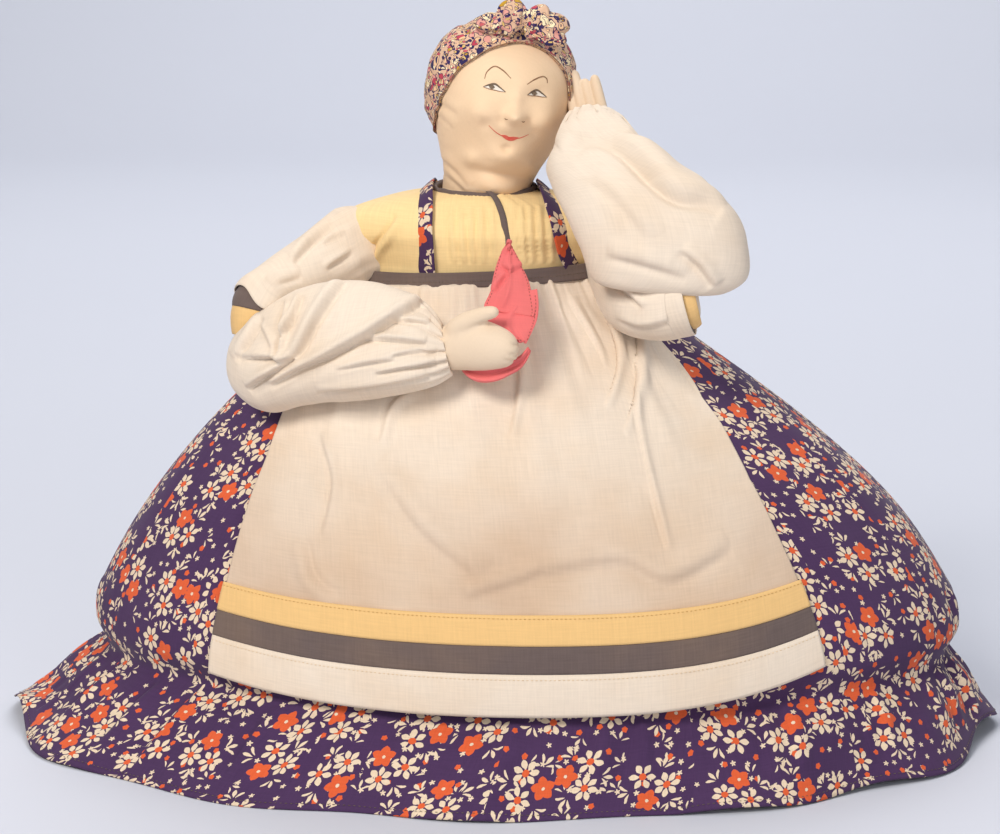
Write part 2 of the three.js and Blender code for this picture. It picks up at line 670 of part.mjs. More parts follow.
// Hands: a flat stuffed palm with its thumb or fingers, in shares of the palm's half width and thickness
function palm(arm, stations, wide, columns, rows) {
  return limb(
    stations.map(([share, x, y, z, width, thickness]) => [
      ...onHand(arm, share, x, y, z),
      width * HAND_HALF_WIDTH,
      thickness * HAND_HALF_THICKNESS,
    ]),
    wide,
    columns,
    rows,
  );
}

function rightHand() {
  const back = palm(
    RIGHT,
    [
      [0.015, 0, 0, 0, 0.56, 0.78],
      [0.05, 0, 0, 0, 0.62, 0.89],
      [0.3, 0, 0, 0.06, 1, 1],
      [0.7, 0, 0.19, 0, 0.94, 1],
      [1.01, 0, 0.44, -0.25, 0.62, 0.78],
      [1.09, 0, 0.5, -0.31, 0.12, 0.22],
    ],
    vec(0, 0, 1),
    14,
    10,
  );
  const thumb = palm(
    RIGHT,
    [
      [0.2, 0, -0.19, 0.62, 0.31, 0.55],
      [0.45, 0, -0.31, 1.06, 0.34, 0.61],
      [0.76, 0, -0.31, 1.31, 0.31, 0.55],
      [0.96, 0, -0.31, 1.37, 0.25, 0.44],
      [1.01, 0, -0.31, 1.37, 0.06, 0.11],
    ],
    vec(0, 0, 1),
    10,
    8,
  );
  return cut(join(back, thumb), bodyRoom(RIGHT), kerchief(GAP));
}

function leftHand() {
  const back = palm(
    LEFT,
    [
      [0.015, 0, 0, 0, 0.56, 0.78],
      [0.05, 0, 0, 0, 0.62, 0.89],
      [0.23, 0, 0, 0, 0.81, 1],
      [0.45, 0.12, 0, 0, 0.81, 0.89],
      [0.56, 0.19, 0, 0, 0.19, 0.33],
    ],
    vec(0.8, 0.1, 0.6),
    12,
    8,
  );
  const finger = (across) =>
    palm(
      LEFT,
      [
        [0.35, across, 0.21, 0.38],
        [0.56, across * 1.05, 0.22, 0.4],
        [0.76, across * 1.05, 0.2, 0.36],
        [0.83, across * 1.05, 0.06, 0.11],
      ].map(([share, x, width, thickness]) => [share, x + 0.19, 0, x * 0.75, width, thickness]),
      vec(1, 0, 0),
      8,
      6,
    );
  return cut(join(back, ...[-0.47, -0.16, 0.16, 0.47].map(finger)), headRoom());
}

// Kerchief: folded cloth in the right hand, its point on the chest and its other end under the fingers.
// The outline is in shares of its width to each side, its point above the grip and its tail below.
function kerchief(out = 0) {
  const { side, point, tail } = KERCHIEF;
  const outline = new THREE.Shape();
  outline.moveTo(-0.17 * side, point);
  outline.quadraticCurveTo(0.67 * side, 0.84 * point, 0.78 * side, 0.51 * point);
  outline.lineTo(side, 0.47 * point);
  outline.lineTo(0.78 * side, 0.02 * point);
  outline.lineTo(0.56 * side, -0.64 * tail);
  outline.quadraticCurveTo(0.11 * side, -tail, -1.33 * side, -0.95 * tail);
  outline.lineTo(-1.22 * side, -0.64 * tail);
  outline.lineTo(-0.33 * side, -0.36 * tail);
  outline.lineTo(-0.5 * side, 0.4 * point);
  outline.quadraticCurveTo(-0.5 * side, 0.76 * point, -0.17 * side, point);
  const sheet = new THREE.ExtrudeGeometry(outline, {
    depth: KERCHIEF.cloth + 2 * out,
    bevelEnabled: false,
    curveSegments: 5,
  })
    .translate(0, 0, -out)
    .rotateX(Math.PI / 2 - radians(KERCHIEF.lean))
    .translate(...onHand(RIGHT, 0.68, 0.37, 0.56, 0.12));
  return out ? sheet : cut(sheet, bodyRoom(RIGHT));
}

// Apron: cloth on the front of the skirt, drawn into gathers under the chest band
const APRON_OUT = GAP;
const LOOSE_OUT = APRON_CLOTH + LAP_GAP;
function apronSheet(top, bottom, standOff = 0) {
  const heights = [top, ...SKIRT_HEIGHTS.filter((h) => h < top - 1 && h > bottom + 1), bottom];
  const rows = heights.length - 1;
  const surface = (out) => (u, v) => {
    const height = heights[Math.round(v * rows)];
    const above = Math.max(0, (height - APRON_FOLD_HEIGHT) / (CHEST_HEIGHT - APRON_FOLD_HEIGHT));
    const rise = (height - APRON_HEM_HEIGHT) / (CHEST_HEIGHT - APRON_HEM_HEIGHT);
    const half = APRON_HALF_ANGLE + APRON_TOP_SPREAD * rise ** 3;
    const angle = radians(APRON_TURN + half * (2 * u - 1));
    const gather = APRON_GATHER * above * (0.5 - 0.5 * Math.cos(2 * Math.PI * APRON_GATHER_COUNT * u));
    return skirtPoint(angle, height, out + gather + standOff);
  };
  return cloth(surface(APRON_OUT + APRON_CLOTH), surface(APRON_OUT), 4 * APRON_GATHER_COUNT, rows);
}

const HEM_TOP = APRON_HEM_HEIGHT + HEM_BAND;
const GREY_TOP = HEM_TOP + GREY_BAND;
const YELLOW_TOP = GREY_TOP + YELLOW_BAND;
const APRON_TOP = CHEST_HEIGHT - BAND_HEIGHT / 2 - GAP;

// Cloth colours
const CREAM = 0xe6d3b8;
const YELLOW = 0xe5bf6e;
const GREY = 0x5b5352;
const PURPLE = 0x46335f;
const SKIN = 0xe3cfae;
const RED = 0xd0505a;
const SCARF = 0xa0707a;
const WADDING = 0xd9d2c4;

const doll = new THREE.Group();

function add(name, geometry, color, roughness = 0.9) {
  const mesh = new THREE.Mesh(geometry, new THREE.MeshStandardMaterial({ color, roughness, metalness: 0 }));
  mesh.name = name;
  doll.add(mesh);
}

add("cosy_lining", cosyLining(), CREAM);
add("cosy_padding", cosyPadding(), WADDING);
add("skirt", skirt(), PURPLE);

add("torso", cut(torso(), neckSocket(), ...armholes()), SKIN);
add("blouse", blouse(), YELLOW);
add("chest_band", chestBand(), GREY);
add("strap_right", strap(-1), PURPLE);
add("strap_left", strap(1), PURPLE);
add("neck_binding", neckBinding(), GREY);
add("placket_binding", placketBinding(), GREY);

add("head", head(), SKIN, 0.8);
add("scarf_wrap", scarfWrap(), SCARF);
add("scarf_knot", scarfKnot(), SCARF);

for (const [side, arm, lower, hand] of [
  ["right", RIGHT, rightLowerSleeve, rightHand],
  ["left", LEFT, leftLowerSleeve, leftHand],
]) {
  add(`upper_arm_${side}`, upperArm(arm), SKIN);
  add(`upper_sleeve_${side}`, besideBody(arm, upperSleeve(arm)), CREAM);
  add(`sleeve_grey_band_${side}`, besideBody(arm, sleeveGreyBand(arm)), GREY);
  add(`sleeve_yellow_band_${side}`, besideBody(arm, sleeveYellowBand(arm)), YELLOW);
  add(`forearm_${side}`, cut(forearm(arm), ...elbowRoom(arm), ...besideBodyAtElbow(arm)), SKIN);
  add(`lower_sleeve_${side}`, lower(), CREAM);
  add(`hand_${side}`, hand(), SKIN, 0.8);
}
add("kerchief", kerchief(), RED);

add("apron_upper_panel", apronSheet(APRON_TOP, APRON_FOLD_HEIGHT - APRON_LAP), CREAM);
add("apron_lower_panel", apronSheet(APRON_FOLD_HEIGHT, YELLOW_TOP + GAP, LOOSE_OUT), CREAM);
add("apron_yellow_band", apronSheet(YELLOW_TOP, GREY_TOP + GAP, LOOSE_OUT), YELLOW);
add("apron_grey_band", apronSheet(GREY_TOP, HEM_TOP + GAP, LOOSE_OUT), GREY);
add("apron_hem_band", apronSheet(HEM_TOP, APRON_HEM_HEIGHT, LOOSE_OUT), CREAM);

export default doll;
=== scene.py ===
import math
import random

import bmesh
import bpy
import numpy as np
from mathutils import Matrix, Vector, noise
from mathutils.bvhtree import BVHTree


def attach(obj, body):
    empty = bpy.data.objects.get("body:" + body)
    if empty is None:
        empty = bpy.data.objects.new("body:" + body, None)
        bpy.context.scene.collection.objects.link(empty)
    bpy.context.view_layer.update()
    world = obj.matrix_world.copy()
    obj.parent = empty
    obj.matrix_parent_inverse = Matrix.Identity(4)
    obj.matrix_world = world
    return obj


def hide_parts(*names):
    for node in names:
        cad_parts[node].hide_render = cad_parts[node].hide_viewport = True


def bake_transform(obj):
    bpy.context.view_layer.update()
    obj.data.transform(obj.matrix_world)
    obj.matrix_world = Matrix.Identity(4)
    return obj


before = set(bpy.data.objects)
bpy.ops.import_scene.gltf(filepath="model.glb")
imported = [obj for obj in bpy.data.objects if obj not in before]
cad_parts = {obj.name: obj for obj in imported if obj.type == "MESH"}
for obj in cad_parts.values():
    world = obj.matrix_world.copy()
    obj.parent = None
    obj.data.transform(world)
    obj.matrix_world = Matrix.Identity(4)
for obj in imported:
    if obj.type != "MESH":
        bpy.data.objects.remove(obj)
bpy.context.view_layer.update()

bl_info = {
    "name": "Tea cosy doll",
    "version": (1, 0, 0),
    "blender": (4, 5, 0),
    "location": "View3D > Sidebar > Tea cosy doll",
    "description": "Dresses a stuffed cloth tea cosy doll in sewn, gathered and printed cotton",
    "category": "Object",
}

MM = 0.001
UV_NAME = "cloth"
TURN = 2 * math.pi


# Small sums


def linear(hex_colour):
    """An sRGB hex colour as linear red, green and blue."""
    parts = [int(hex_colour[i : i + 2], 16) / 255 for i in (1, 3, 5)]
    return tuple(c / 12.92 if c <= 0.04045 else ((c + 0.055) / 1.055) ** 2.4 for c in parts)


def lerp(a, b, share):
    """The value at a share of the way from a to b."""
    return a + (b - a) * share


def clamp(x, low=0.0, high=1.0):
    """x, kept between two values."""
    return min(max(x, low), high)


def ease(x, low, high):
    """0 below low, 1 above high, smooth between."""
    share = clamp((x - low) / (high - low))
    return share * share * (3 - 2 * share)


def bell(x, middle, width):
    """1 in the middle, falling away smoothly on both sides."""
    return math.exp(-(((x - middle) / width) ** 2))


def through(stations, share):
    """A smooth line through rows of numbers, at a share of its way."""
    last = len(stations) - 1
    place = clamp(share) * last
    i = min(int(place), last - 1)
    f = place - i
    rows = [stations[k] for k in (max(i - 1, 0), i, i + 1, min(i + 2, last))]
    return [
        0.5 * (2 * b + (c - a) * f + (2 * a - 5 * b + 4 * c - d) * f * f + (3 * b - a - 3 * c + d) * f**3)
        for a, b, c, d in zip(*rows)
    ]


def rough(x, y, z=0.0):
    """Smooth noise from about -1 to 1."""
    return noise.noise(Vector((x, y, z)))


# Sizes, in millimetres unless they say otherwise. They follow the CAD's solids.

CHEST_HEIGHT = 246
CREASE_HEIGHT = 46
TORSO_X = -8
NECK = Vector((TORSO_X, 0, 283))
HEAD_ROLL = math.radians(12)
WAIST = (64.3, 41.3)
BELL = (230, 143)
BELL_X = 14
APRON_TOP = CHEST_HEIGHT - 2.5
APRON_HALF_ANGLE = 41
APRON_TOP_SPREAD = 34
APRON_HEM_HEIGHT = 50
APRON_FOLD_HEIGHT = 148
SHOULDER = {"right": Vector((-85, -6, 261)), "left": Vector((70, 2, 270))}
ELBOW = {"right": Vector((-122.1, -59.8, 208.2)), "left": Vector((99.9, -74.9, 254.0))}
UP = Vector((0, 0, 1))
FRONT = Vector((0, -1, 0))
FRONT_AND_UP = Vector((0, -1, 0.3))
CAMERA_AT = Vector((71.9, -1372.4, 432.1))
CAMERA_AIM = Vector((0, 0, 165))


def size_property(name, default, low, high, description):
    return bpy.props.FloatProperty(
        name=name, description=description, default=default, min=low, max=high, unit="LENGTH")


class DollSizes(bpy.types.PropertyGroup):
    """Sizes of the doll's clothes that a maker would change."""

    skirt_fold: size_property("Skirt fold", 0.0045, 0, 0.01, "Depth of the folds hanging in the skirt")
    hem_lift: size_property("Hem lift", 0.006, 0, 0.012, "How far the hem rises from the table in places")
    apron_gather: size_property("Apron gather", 0.0016, 0, 0.004, "Depth of the gathers under the chest band")
    sleeve_fold: size_property("Sleeve fold", 0.003, 0, 0.008, "Depth of the folds in the sleeves")
    stitch_pitch: size_property(
        "Stitch pitch", 0.0017, 0.001, 0.004, "Distance between the chest band's stitches")
    cloth: size_property("Cloth", 0.0007, 0.0003, 0.002, "Thickness of the cotton")


def colour_property(name, hex_colour, description):
    return bpy.props.FloatVectorProperty(
        name=name, description=description, subtype="COLOR", size=3, min=0, max=1, default=linear(hex_colour))


class DollColours(bpy.types.PropertyGroup):
    """Colours of the doll's cloths, thread and paint."""

    purple: colour_property("Purple", "#3E2749", "Ground of the printed skirt")
    petal: colour_property("Petal", "#DAC4A8", "Daisies and leaves of the print")
    orange: colour_property("Orange", "#D25A32", "Orange flowers of the print")
    cream: colour_property("Cream", "#DDCDBA", "Apron and sleeves")
    stain: colour_property("Stain", "#C9A06C", "Age stains on the cream cloth")
    # Brown soiling and painted shade low on the apron, in one colour
    soil_and_shade: colour_property("Soil", "#B08C6C", "Brown soiling low on the apron")
    yellow: colour_property("Yellow", "#DCB478", "Yellow bands")
    blouse: colour_property("Blouse", "#E9CB93", "Blouse")
    grey: colour_property("Grey", "#625450", "Bindings and bands")
    skin: colour_property("Skin", "#E8C9A6", "Stuffed head and arms")
    hand: colour_property("Hand", "#DCC6AC", "Stuffed hands")
    red: colour_property("Red", "#DA6C6A", "Kerchief")
    scarf: colour_property("Scarf", "#D4AE90", "Ground of the scarf's print")
    wadding: colour_property("Wadding", "#E6E0D4", "Padding of the cosy")


class DollSettings(bpy.types.PropertyGroup):
    """Everything that the panel shows."""

    sizes: bpy.props.PointerProperty(type=DollSizes)
    colours: bpy.props.PointerProperty(type=DollColours)


def sizes():
    return bpy.context.scene.tea_cosy_doll.sizes


def colour(name):
    """A colour of the panel, with its alpha."""
    return (*getattr(bpy.context.scene.tea_cosy_doll.colours, name), 1.0)


def ink_colour(hex_colour):
    """A fixed colour, with its alpha."""
    return (*linear(hex_colour), 1)


# Materials

# The kinds of node that are used most
MATH = "ShaderNodeMath"
MIX = "ShaderNodeMix"
NOISE = "ShaderNodeTexNoise"
RANGE = "ShaderNodeMapRange"
VECTOR = "ShaderNodeVectorMath"

# Real sizes of what the cloths show, in metres
THREAD_PITCH = 0.0009
THREAD_RELIEF = 0.0003
BLOTCH = 0.06
# Patches of brown soiling and painted shade on the apron
SOIL_AND_SHADE_PATCH = 0.09
FADED_PATCH = 0.05
BRUSH_GRAIN = 0.0011


def add_node(tree, kind, inputs=None, **settings):
    """One node with its settings; an input is a value, or a socket or node to link.

    A node is linked by its first live output."""
    made = tree.nodes.new(kind)
    for name, value in settings.items():
        setattr(made, name, value)
    for key, value in (inputs or {}).items():
        if isinstance(value, bpy.types.Node):
            value = next(socket for socket in value.outputs if socket.enabled)
        socket = made.inputs[key]
        if isinstance(value, bpy.types.NodeSocket):
            tree.links.new(value, socket)
        else:
            socket.default_value = value
    return made


def start_material(name):
    """An empty material's nodes."""
    material = bpy.data.materials.new(name)
    material.use_nodes = True
    material.node_tree.nodes.clear()
    return material.node_tree


def finish_material(tree, base, roughness, sheen=0.0, thread=None, relief=0.0):
    """The shader over a base colour, with the threads standing up."""
    inputs = {
        "Base Color": base, "Roughness": roughness, "IOR": 1.45, "Specular IOR Level": 0.25,
        "Sheen Weight": sheen, "Sheen Roughness": 0.5,
    }
    if thread:
        height = {"Height": thread, "Strength": relief, "Distance": THREAD_RELIEF}
        inputs["Normal"] = add_node(tree, "ShaderNodeBump", height)
    shader = add_node(tree, "ShaderNodeBsdfPrincipled", inputs)
    add_node(tree, "ShaderNodeOutputMaterial", {"Surface": shader})


def cloth_place(tree, by_uv):
    """Place on the cloth: its own flat coordinates, or the place in space, in metres."""
    if by_uv:
        return add_node(tree, "ShaderNodeUVMap", uv_map=UV_NAME).outputs[0]
    return add_node(tree, "ShaderNodeTexCoord").outputs["Object"]


def threads(tree, place, run):
    """Uneven threads lying both ways: streaks a thread wide and a run long, in metres.

    Real threads are 0.35 mm apart, too fine for the picture, so they are drawn 0.9 mm apart."""
    streaks = []
    fine, long = 1 / THREAD_PITCH, 1 / run
    for scale in ((fine, long, fine), (long, fine, long)):
        turned = add_node(tree, "ShaderNodeMapping", {"Vector": place, "Scale": scale})
        streaks.append(add_node(tree, NOISE, {"Vector": turned, "Scale": 1.0, "Detail": 2.0}))
    both = add_node(tree, MATH, {0: streaks[0], 1: streaks[1]}, operation="ADD")
    return add_node(tree, MATH, {0: both, 1: 0.5}, operation="MULTIPLY")


def shade_threads(tree, cloth, thread, slub):
    """The cloth's colour, lighter and darker along its threads by up to a slub's share."""
    shade = add_node(tree, MATH, {0: thread, 1: 2 * slub, 2: 1 - slub}, operation="MULTIPLY_ADD")
    return add_node(tree, MIX, {0: 1.0, 6: cloth, 7: shade}, data_type="RGBA", blend_type="MULTIPLY")


def woven_cotton(name, ground, by_uv=True, stain=0.25, roughness=0.92, slub=0.16, soil_and_shade_depths=None):
    """Plain-woven cotton: matt, with uneven threads, soft blotches of age and a little fuzz."""
    tree = start_material(name)
    place = cloth_place(tree, by_uv)
    thread = threads(tree, place, run=0.016)
    blotch = add_node(tree, NOISE, {"Vector": place, "Scale": 1 / BLOTCH, "Detail": 3.0, "Roughness": 0.55})
    aged = add_node(tree, RANGE, {0: blotch, 1: 0.42, 2: 0.75, 4: stain})
    cloth = add_node(tree, MIX, {0: aged, 6: colour(ground), 7: colour("stain")}, data_type="RGBA")
    if soil_and_shade_depths:
        # Brown soiling and painted shade in patches, between two depths down the cloth in metres
        patches = add_node(
            tree, NOISE, {"Vector": place, "Scale": 1 / SOIL_AND_SHADE_PATCH, "Detail": 3.0, "Roughness": 0.45})
        strength = add_node(
            tree, RANGE, {0: patches, 1: 0.34, 2: 0.66, 3: 0.35, 4: 0.72}, interpolation_type="SMOOTHSTEP")
        depth = add_node(tree, "ShaderNodeSeparateXYZ", {0: place}).outputs["Y"]
        low = add_node(tree, RANGE, {0: depth, 1: soil_and_shade_depths[0], 2: soil_and_shade_depths[1]}, interpolation_type="SMOOTHSTEP")
        share = add_node(tree, MATH, {0: low, 1: strength}, operation="MULTIPLY")
        cloth = add_node(tree, MIX, {0: share, 6: cloth, 7: colour("soil_and_shade")}, data_type="RGBA")
    cloth = shade_threads(tree, cloth, thread, slub)
    finish_material(tree, cloth, roughness, sheen=0.12, thread=thread, relief=0.35)


def waver(tree, place, size, reach, detail=2.0):
    """The place, moved about by up to half a reach in waves of a size, both in metres."""
    wave = add_node(tree, NOISE, {"Vector": place, "Scale": 1 / size, "Detail": detail}).outputs["Color"]
    wave = add_node(tree, VECTOR, {0: wave, 1: (0.5, 0.5, 0.5)}, operation="SUBTRACT")
    wave = add_node(tree, VECTOR, {0: wave, "Scale": reach}, operation="SCALE")
    return add_node(tree, VECTOR, {0: place, 1: wave}, operation="ADD")


def scatter(tree, place, cell, shift, randomness=0.7):
    """Middles strewn over the cloth in cells of a size in metres.

    Gives the place seen from the nearest middle, turned at random, in mm, and a chance."""
    moved = add_node(tree, "ShaderNodeMapping", {
        "Vector": place, "Location": (shift, shift * 0.7, 0), "Scale": (1 / cell,) * 3})
    cells = add_node(
        tree, "ShaderNodeTexVoronoi", {"Vector": moved, "Scale": 1.0, "Randomness": randomness},
        voronoi_dimensions="2D", feature="F1").outputs
    away = add_node(tree, VECTOR, {0: moved, 1: cells["Position"]}, operation="SUBTRACT")
    chance = add_node(tree, "ShaderNodeSeparateColor", {0: cells["Color"]}).outputs
    angle = add_node(tree, MATH, {0: chance["Red"], 1: TURN}, operation="MULTIPLY")
    turned = add_node(
        tree, "ShaderNodeVectorRotate", {"Vector": away, "Angle": angle}, rotation_type="Z_AXIS")
    sized = add_node(tree, VECTOR, {0: turned, "Scale": cell / MM}, operation="SCALE")
    axes = add_node(tree, "ShaderNodeSeparateXYZ", {0: sized}).outputs
    return axes["X"], axes["Y"], chance["Green"]


def flower(tree, spot, at, count, middle, half_length, half_width, turn=0.0, spread=None):
    """Egg-shaped petals or leaves lying outwards round a place, in mm; a spread keeps those near one way.

    Gives where they are, and the distance from the place."""
    across = add_node(tree, MATH, {0: spot[0], 1: at[0]}, operation="SUBTRACT")
    up = add_node(tree, MATH, {0: spot[1], 1: at[1]}, operation="SUBTRACT")
    square = add_node(tree, MATH, {0: up, 1: up}, operation="MULTIPLY")
    square = add_node(tree, MATH, {0: across, 1: across, 2: square}, operation="MULTIPLY_ADD")
    distance = add_node(tree, MATH, {0: square}, operation="SQRT")
    angle = add_node(tree, MATH, {0: up, 1: across}, operation="ARCTAN2")
    angle = add_node(tree, MATH, {0: angle, 1: turn}, operation="SUBTRACT")
    nearest = add_node(tree, MATH, {0: angle, 1: math.pi / count}, operation="PINGPONG")
    aside = add_node(tree, MATH, {0: nearest, 1: distance}, operation="MULTIPLY")
    along = {0: distance, 1: 1 / half_length, 2: -middle / half_length}
    along = add_node(tree, MATH, along, operation="MULTIPLY_ADD")
    square = add_node(tree, MATH, {0: along, 1: along}, operation="MULTIPLY")
    oval = add_node(tree, MATH, {0: square, 1: -half_width, 2: half_width}, operation="MULTIPLY_ADD")
    egg = add_node(tree, MATH, {0: along, 1: 0.45, 2: 1.0}, operation="MULTIPLY_ADD")
    edge = add_node(tree, MATH, {0: oval, 1: egg}, operation="MULTIPLY")
    inside = add_node(tree, MATH, {0: aside, 1: edge}, operation="LESS_THAN")
    if spread:
        off = add_node(tree, MATH, {0: angle, 1: math.pi}, operation="PINGPONG")
        near = add_node(tree, MATH, {0: off, 1: spread}, operation="LESS_THAN")
        inside = add_node(tree, MATH, {0: inside, 1: near}, operation="MULTIPLY")
    return inside, distance


# The print's strewn motifs, in mm where not said: cell in metres, shift, place, petals, middle, half length,
# half width, turn, spread, colour and the chance that a place stays bare
STREWN = (
    (0.0074, 5.13, (0, 0), 5, 0.75, 0.8, 0.4, 0.0, None, "petal", 0.5),
    (0.0118, 7.91, (-1.6, 0), 6, 3.3, 2.1, 0.75, 0.0, 1.1, "petal", 0.55),
    (0.0118, 9.77, (0, 0), 5, 0.0, 1.6, 1.5, 0.0, None, "orange", 0.42),
)
SPRAY_CELL = 0.0325
# Leaves of a spray: place and turn
SPRAY_LEAVES = (((-9.5, -6.5), 3.9), ((10.5, -3.5), -0.5), ((-2.5, 9.5), 1.75))
# Flowers of a spray: place, petals, middle, half length, half width, turn, colours of petals and eye, eye
SPRAY_FLOWERS = (
    ((-6.5, 1.8), 7, 4.0, 2.6, 1.45, 0.2, ("petal", "orange"), 1.75),
    ((6.2, 4.6), 6, 4.0, 2.6, 1.45, 0.9, ("petal", "orange"), 1.75),
    ((1.2, -7.2), 5, 3.2, 2.8, 2.3, 0.5, ("orange", "petal"), 0.85),
)


def printed_floral(name):
    """Printed cotton: a purple ground strewn with sprays of cream daisies, orange flowers, leaves and stars.

    A spray is about 34 mm across; daisies are 13 mm, orange flowers 11 mm, leaves 5 mm and berries 3 mm."""
    tree = start_material(name)
    place = cloth_place(tree, True)
    # The printer's edges waver by half a millimetre
    drawn = waver(tree, place, size=0.004, reach=0.0011)

    # Each layer: where it is, and its ink
    layers = []
    for cell, shift, at, count, middle, length, width, turn, spread, ink, bare in STREWN:
        spot = scatter(tree, drawn, cell, shift)
        shown, _ = flower(tree, spot, at, count, middle, length, width, turn, spread)
        there = add_node(tree, MATH, {0: spot[2], 1: bare}, operation="GREATER_THAN")
        layers.append((add_node(tree, MATH, {0: shown, 1: there}, operation="MULTIPLY"), ink))
    spray = scatter(tree, drawn, SPRAY_CELL, 0.0, 0.5)
    for at, turn in SPRAY_LEAVES:
        layers.append((flower(tree, spray, at, 7, 3.6, 2.6, 0.95, turn, 1.0)[0], "petal"))
    for at, count, middle, length, width, turn, (outer, inner), eye in SPRAY_FLOWERS:
        petals, distance = flower(tree, spray, at, count, middle, length, width, turn)
        layers.append((petals, outer))
        layers.append((add_node(tree, MATH, {0: distance, 1: eye}, operation="LESS_THAN"), inner))

    faded = add_node(tree, NOISE, {"Vector": place, "Scale": 1 / FADED_PATCH, "Detail": 2.0})
    faded = add_node(tree, MATH, {0: faded, 1: 0.25}, operation="MULTIPLY")
    cloth = {0: faded, 6: colour("purple"), 7: ink_colour("#6B4C74")}
    cloth = add_node(tree, MIX, cloth, data_type="RGBA")
    for shown, ink in layers:
        cloth = add_node(tree, MIX, {0: shown, 6: cloth, 7: colour(ink)}, data_type="RGBA")
    thread = threads(tree, place, run=0.01)
    cloth = shade_threads(tree, cloth, thread, 0.25)
    finish_material(tree, cloth, roughness=0.9, sheen=0.08, thread=thread, relief=0.3)


SCARF_PRINT = (
    # pitch in metres, share of the pitch a motif fills, share of the places left bare, inks
    (0.0043, 0.47, 0.06, ("#2A2350", "#D99A8C", "#B84050", "#EBD7AE", "#B98E2A", "#E4B98E", "#D99A8C")),
    (0.0021, 0.42, 0.16, ("#2A2350", "#EBD7AE", "#C05A5E", "#E4B98E", "#3A2A5A", "#EBD7AE", "#D2B06A")),
)
SCARF_OUTLINE = "#3B2A4C"


def printed_scarf(name):
    """Printed cotton of the scarf: crowded leaves and flowers with dark outlines, 2 to 5 mm across."""
    tree = start_material(name)
    place = cloth_place(tree, False)
    bent = waver(tree, place, size=0.006, reach=0.0062, detail=1.0)
    cloth = colour("scarf")
    for pitch, size, bare, inks in SCARF_PRINT:
        cells = {"Vector": bent, "Scale": 1 / pitch, "Randomness": 0.9}
        cells = add_node(tree, "ShaderNodeTexVoronoi", cells, feature="F1").outputs
        chance = add_node(tree, "ShaderNodeSeparateColor", {0: cells["Color"]}).outputs
        ramp = add_node(tree, "ShaderNodeValToRGB", {0: chance["Red"]})
        ramp.color_ramp.interpolation = "CONSTANT"
        while len(ramp.color_ramp.elements) < len(inks):
            ramp.color_ramp.elements.new(0.5)
        for i, ink in enumerate(inks):
            ramp.color_ramp.elements[i].position = i / len(inks)
            ramp.color_ramp.elements[i].color = ink_colour(ink)
        drawn = add_node(tree, MATH, {0: chance["Green"], 1: bare}, operation="GREATER_THAN")
        for reach, ink in ((size + 0.06, ink_colour(SCARF_OUTLINE)), (size - 0.03, ramp.outputs[0])):
            inside = add_node(tree, MATH, {0: cells["Distance"], 1: reach}, operation="LESS_THAN")
            shown = add_node(tree, MATH, {0: inside, 1: drawn}, operation="MULTIPLY")
            cloth = add_node(tree, MIX, {0: shown, 6: cloth, 7: ink}, data_type="RGBA")
    thread = threads(tree, place, run=0.008)
    finish_material(tree, cloth, roughness=0.88, sheen=0.08, thread=thread, relief=0.3)


def plain_paint(name, ink):
    """Brushed ink, paint or dyed thread, thin enough to show a little of the skin under it."""
    tree = start_material(name)
    grain = {"Vector": cloth_place(tree, False), "Scale": 1 / BRUSH_GRAIN, "Detail": 2.0}
    grain = add_node(tree, NOISE, grain)
    thin = add_node(tree, MATH, {0: grain, 1: 0.3}, operation="MULTIPLY")
    paint = add_node(tree, MIX, {0: thin, 6: ink_colour(ink), 7: colour("skin")}, data_type="RGBA")
    finish_material(tree, paint, roughness=0.6)


PAINTS = {
    "brown_ink": "#744A2C", "lash_ink": "#3A2A22", "white_paint": "#DDD6CB", "iris_paint": "#5A4C40",
    "lip_paint": "#CC2B26", "dark_thread": "#1E1916", "yellow_thread": "#B98A3A", "red_thread": "#8E1F28",
    "cream_thread": "#D9C09A",
}


def make_materials():
    """The cloths, threads and paints, made once."""
    if "ditsy_print_cotton" in bpy.data.materials:
        return
    printed_floral("ditsy_print_cotton")
    printed_scarf("scarf_cotton")
    woven_cotton("cream_plain_weave", "cream", stain=0.28)
    # The apron's cream, darkened low down by brown soiling and painted shade
    woven_cotton("soiled_and_shaded_cream_weave", "cream", stain=0.34, soil_and_shade_depths=(0.08, 0.165))
    woven_cotton("yellow_plain_weave", "yellow", stain=0.10)
    woven_cotton("blouse_plain_weave", "blouse", stain=0.10)
    woven_cotton("grey_plain_weave", "grey", stain=0.10, slub=0.3)
    woven_cotton("red_plain_weave", "red", stain=0.08, slub=0.12)
    woven_cotton("cotton_wadding", "wadding", by_uv=False, stain=0.15)
    for skin in ("skin", "hand"):
        woven_cotton(f"{skin}_calico", skin, by_uv=False, stain=0.22, slub=0.05, roughness=0.75)
    for paint, ink in PAINTS.items():
        plain_paint(paint, ink)


# Meshes


def keep_mesh(bm, name, material):
    """The bmesh as an object at the origin."""
    mesh = bpy.data.meshes.new(name)
    bm.to_mesh(mesh)
    bm.free()
    piece = bpy.data.objects.new(name, mesh)
    bpy.context.collection.objects.link(piece)
    mesh.materials.append(bpy.data.materials[material])
    mesh.polygons.foreach_set("use_smooth", [True] * len(mesh.polygons))
    return piece


def face_out(bm, away=None):
    """Faces all one way: outwards, or towards the given direction."""
    bmesh.ops.recalc_face_normals(bm, faces=bm.faces)
    middle = sum((v.co for v in bm.verts), Vector()) / len(bm.verts)
    lean = sum(
        f.normal.dot(away if away else f.calc_center_median() - middle) * f.calc_area() for f in bm.faces)
    if lean < 0:
        bmesh.ops.reverse_faces(bm, faces=bm.faces)


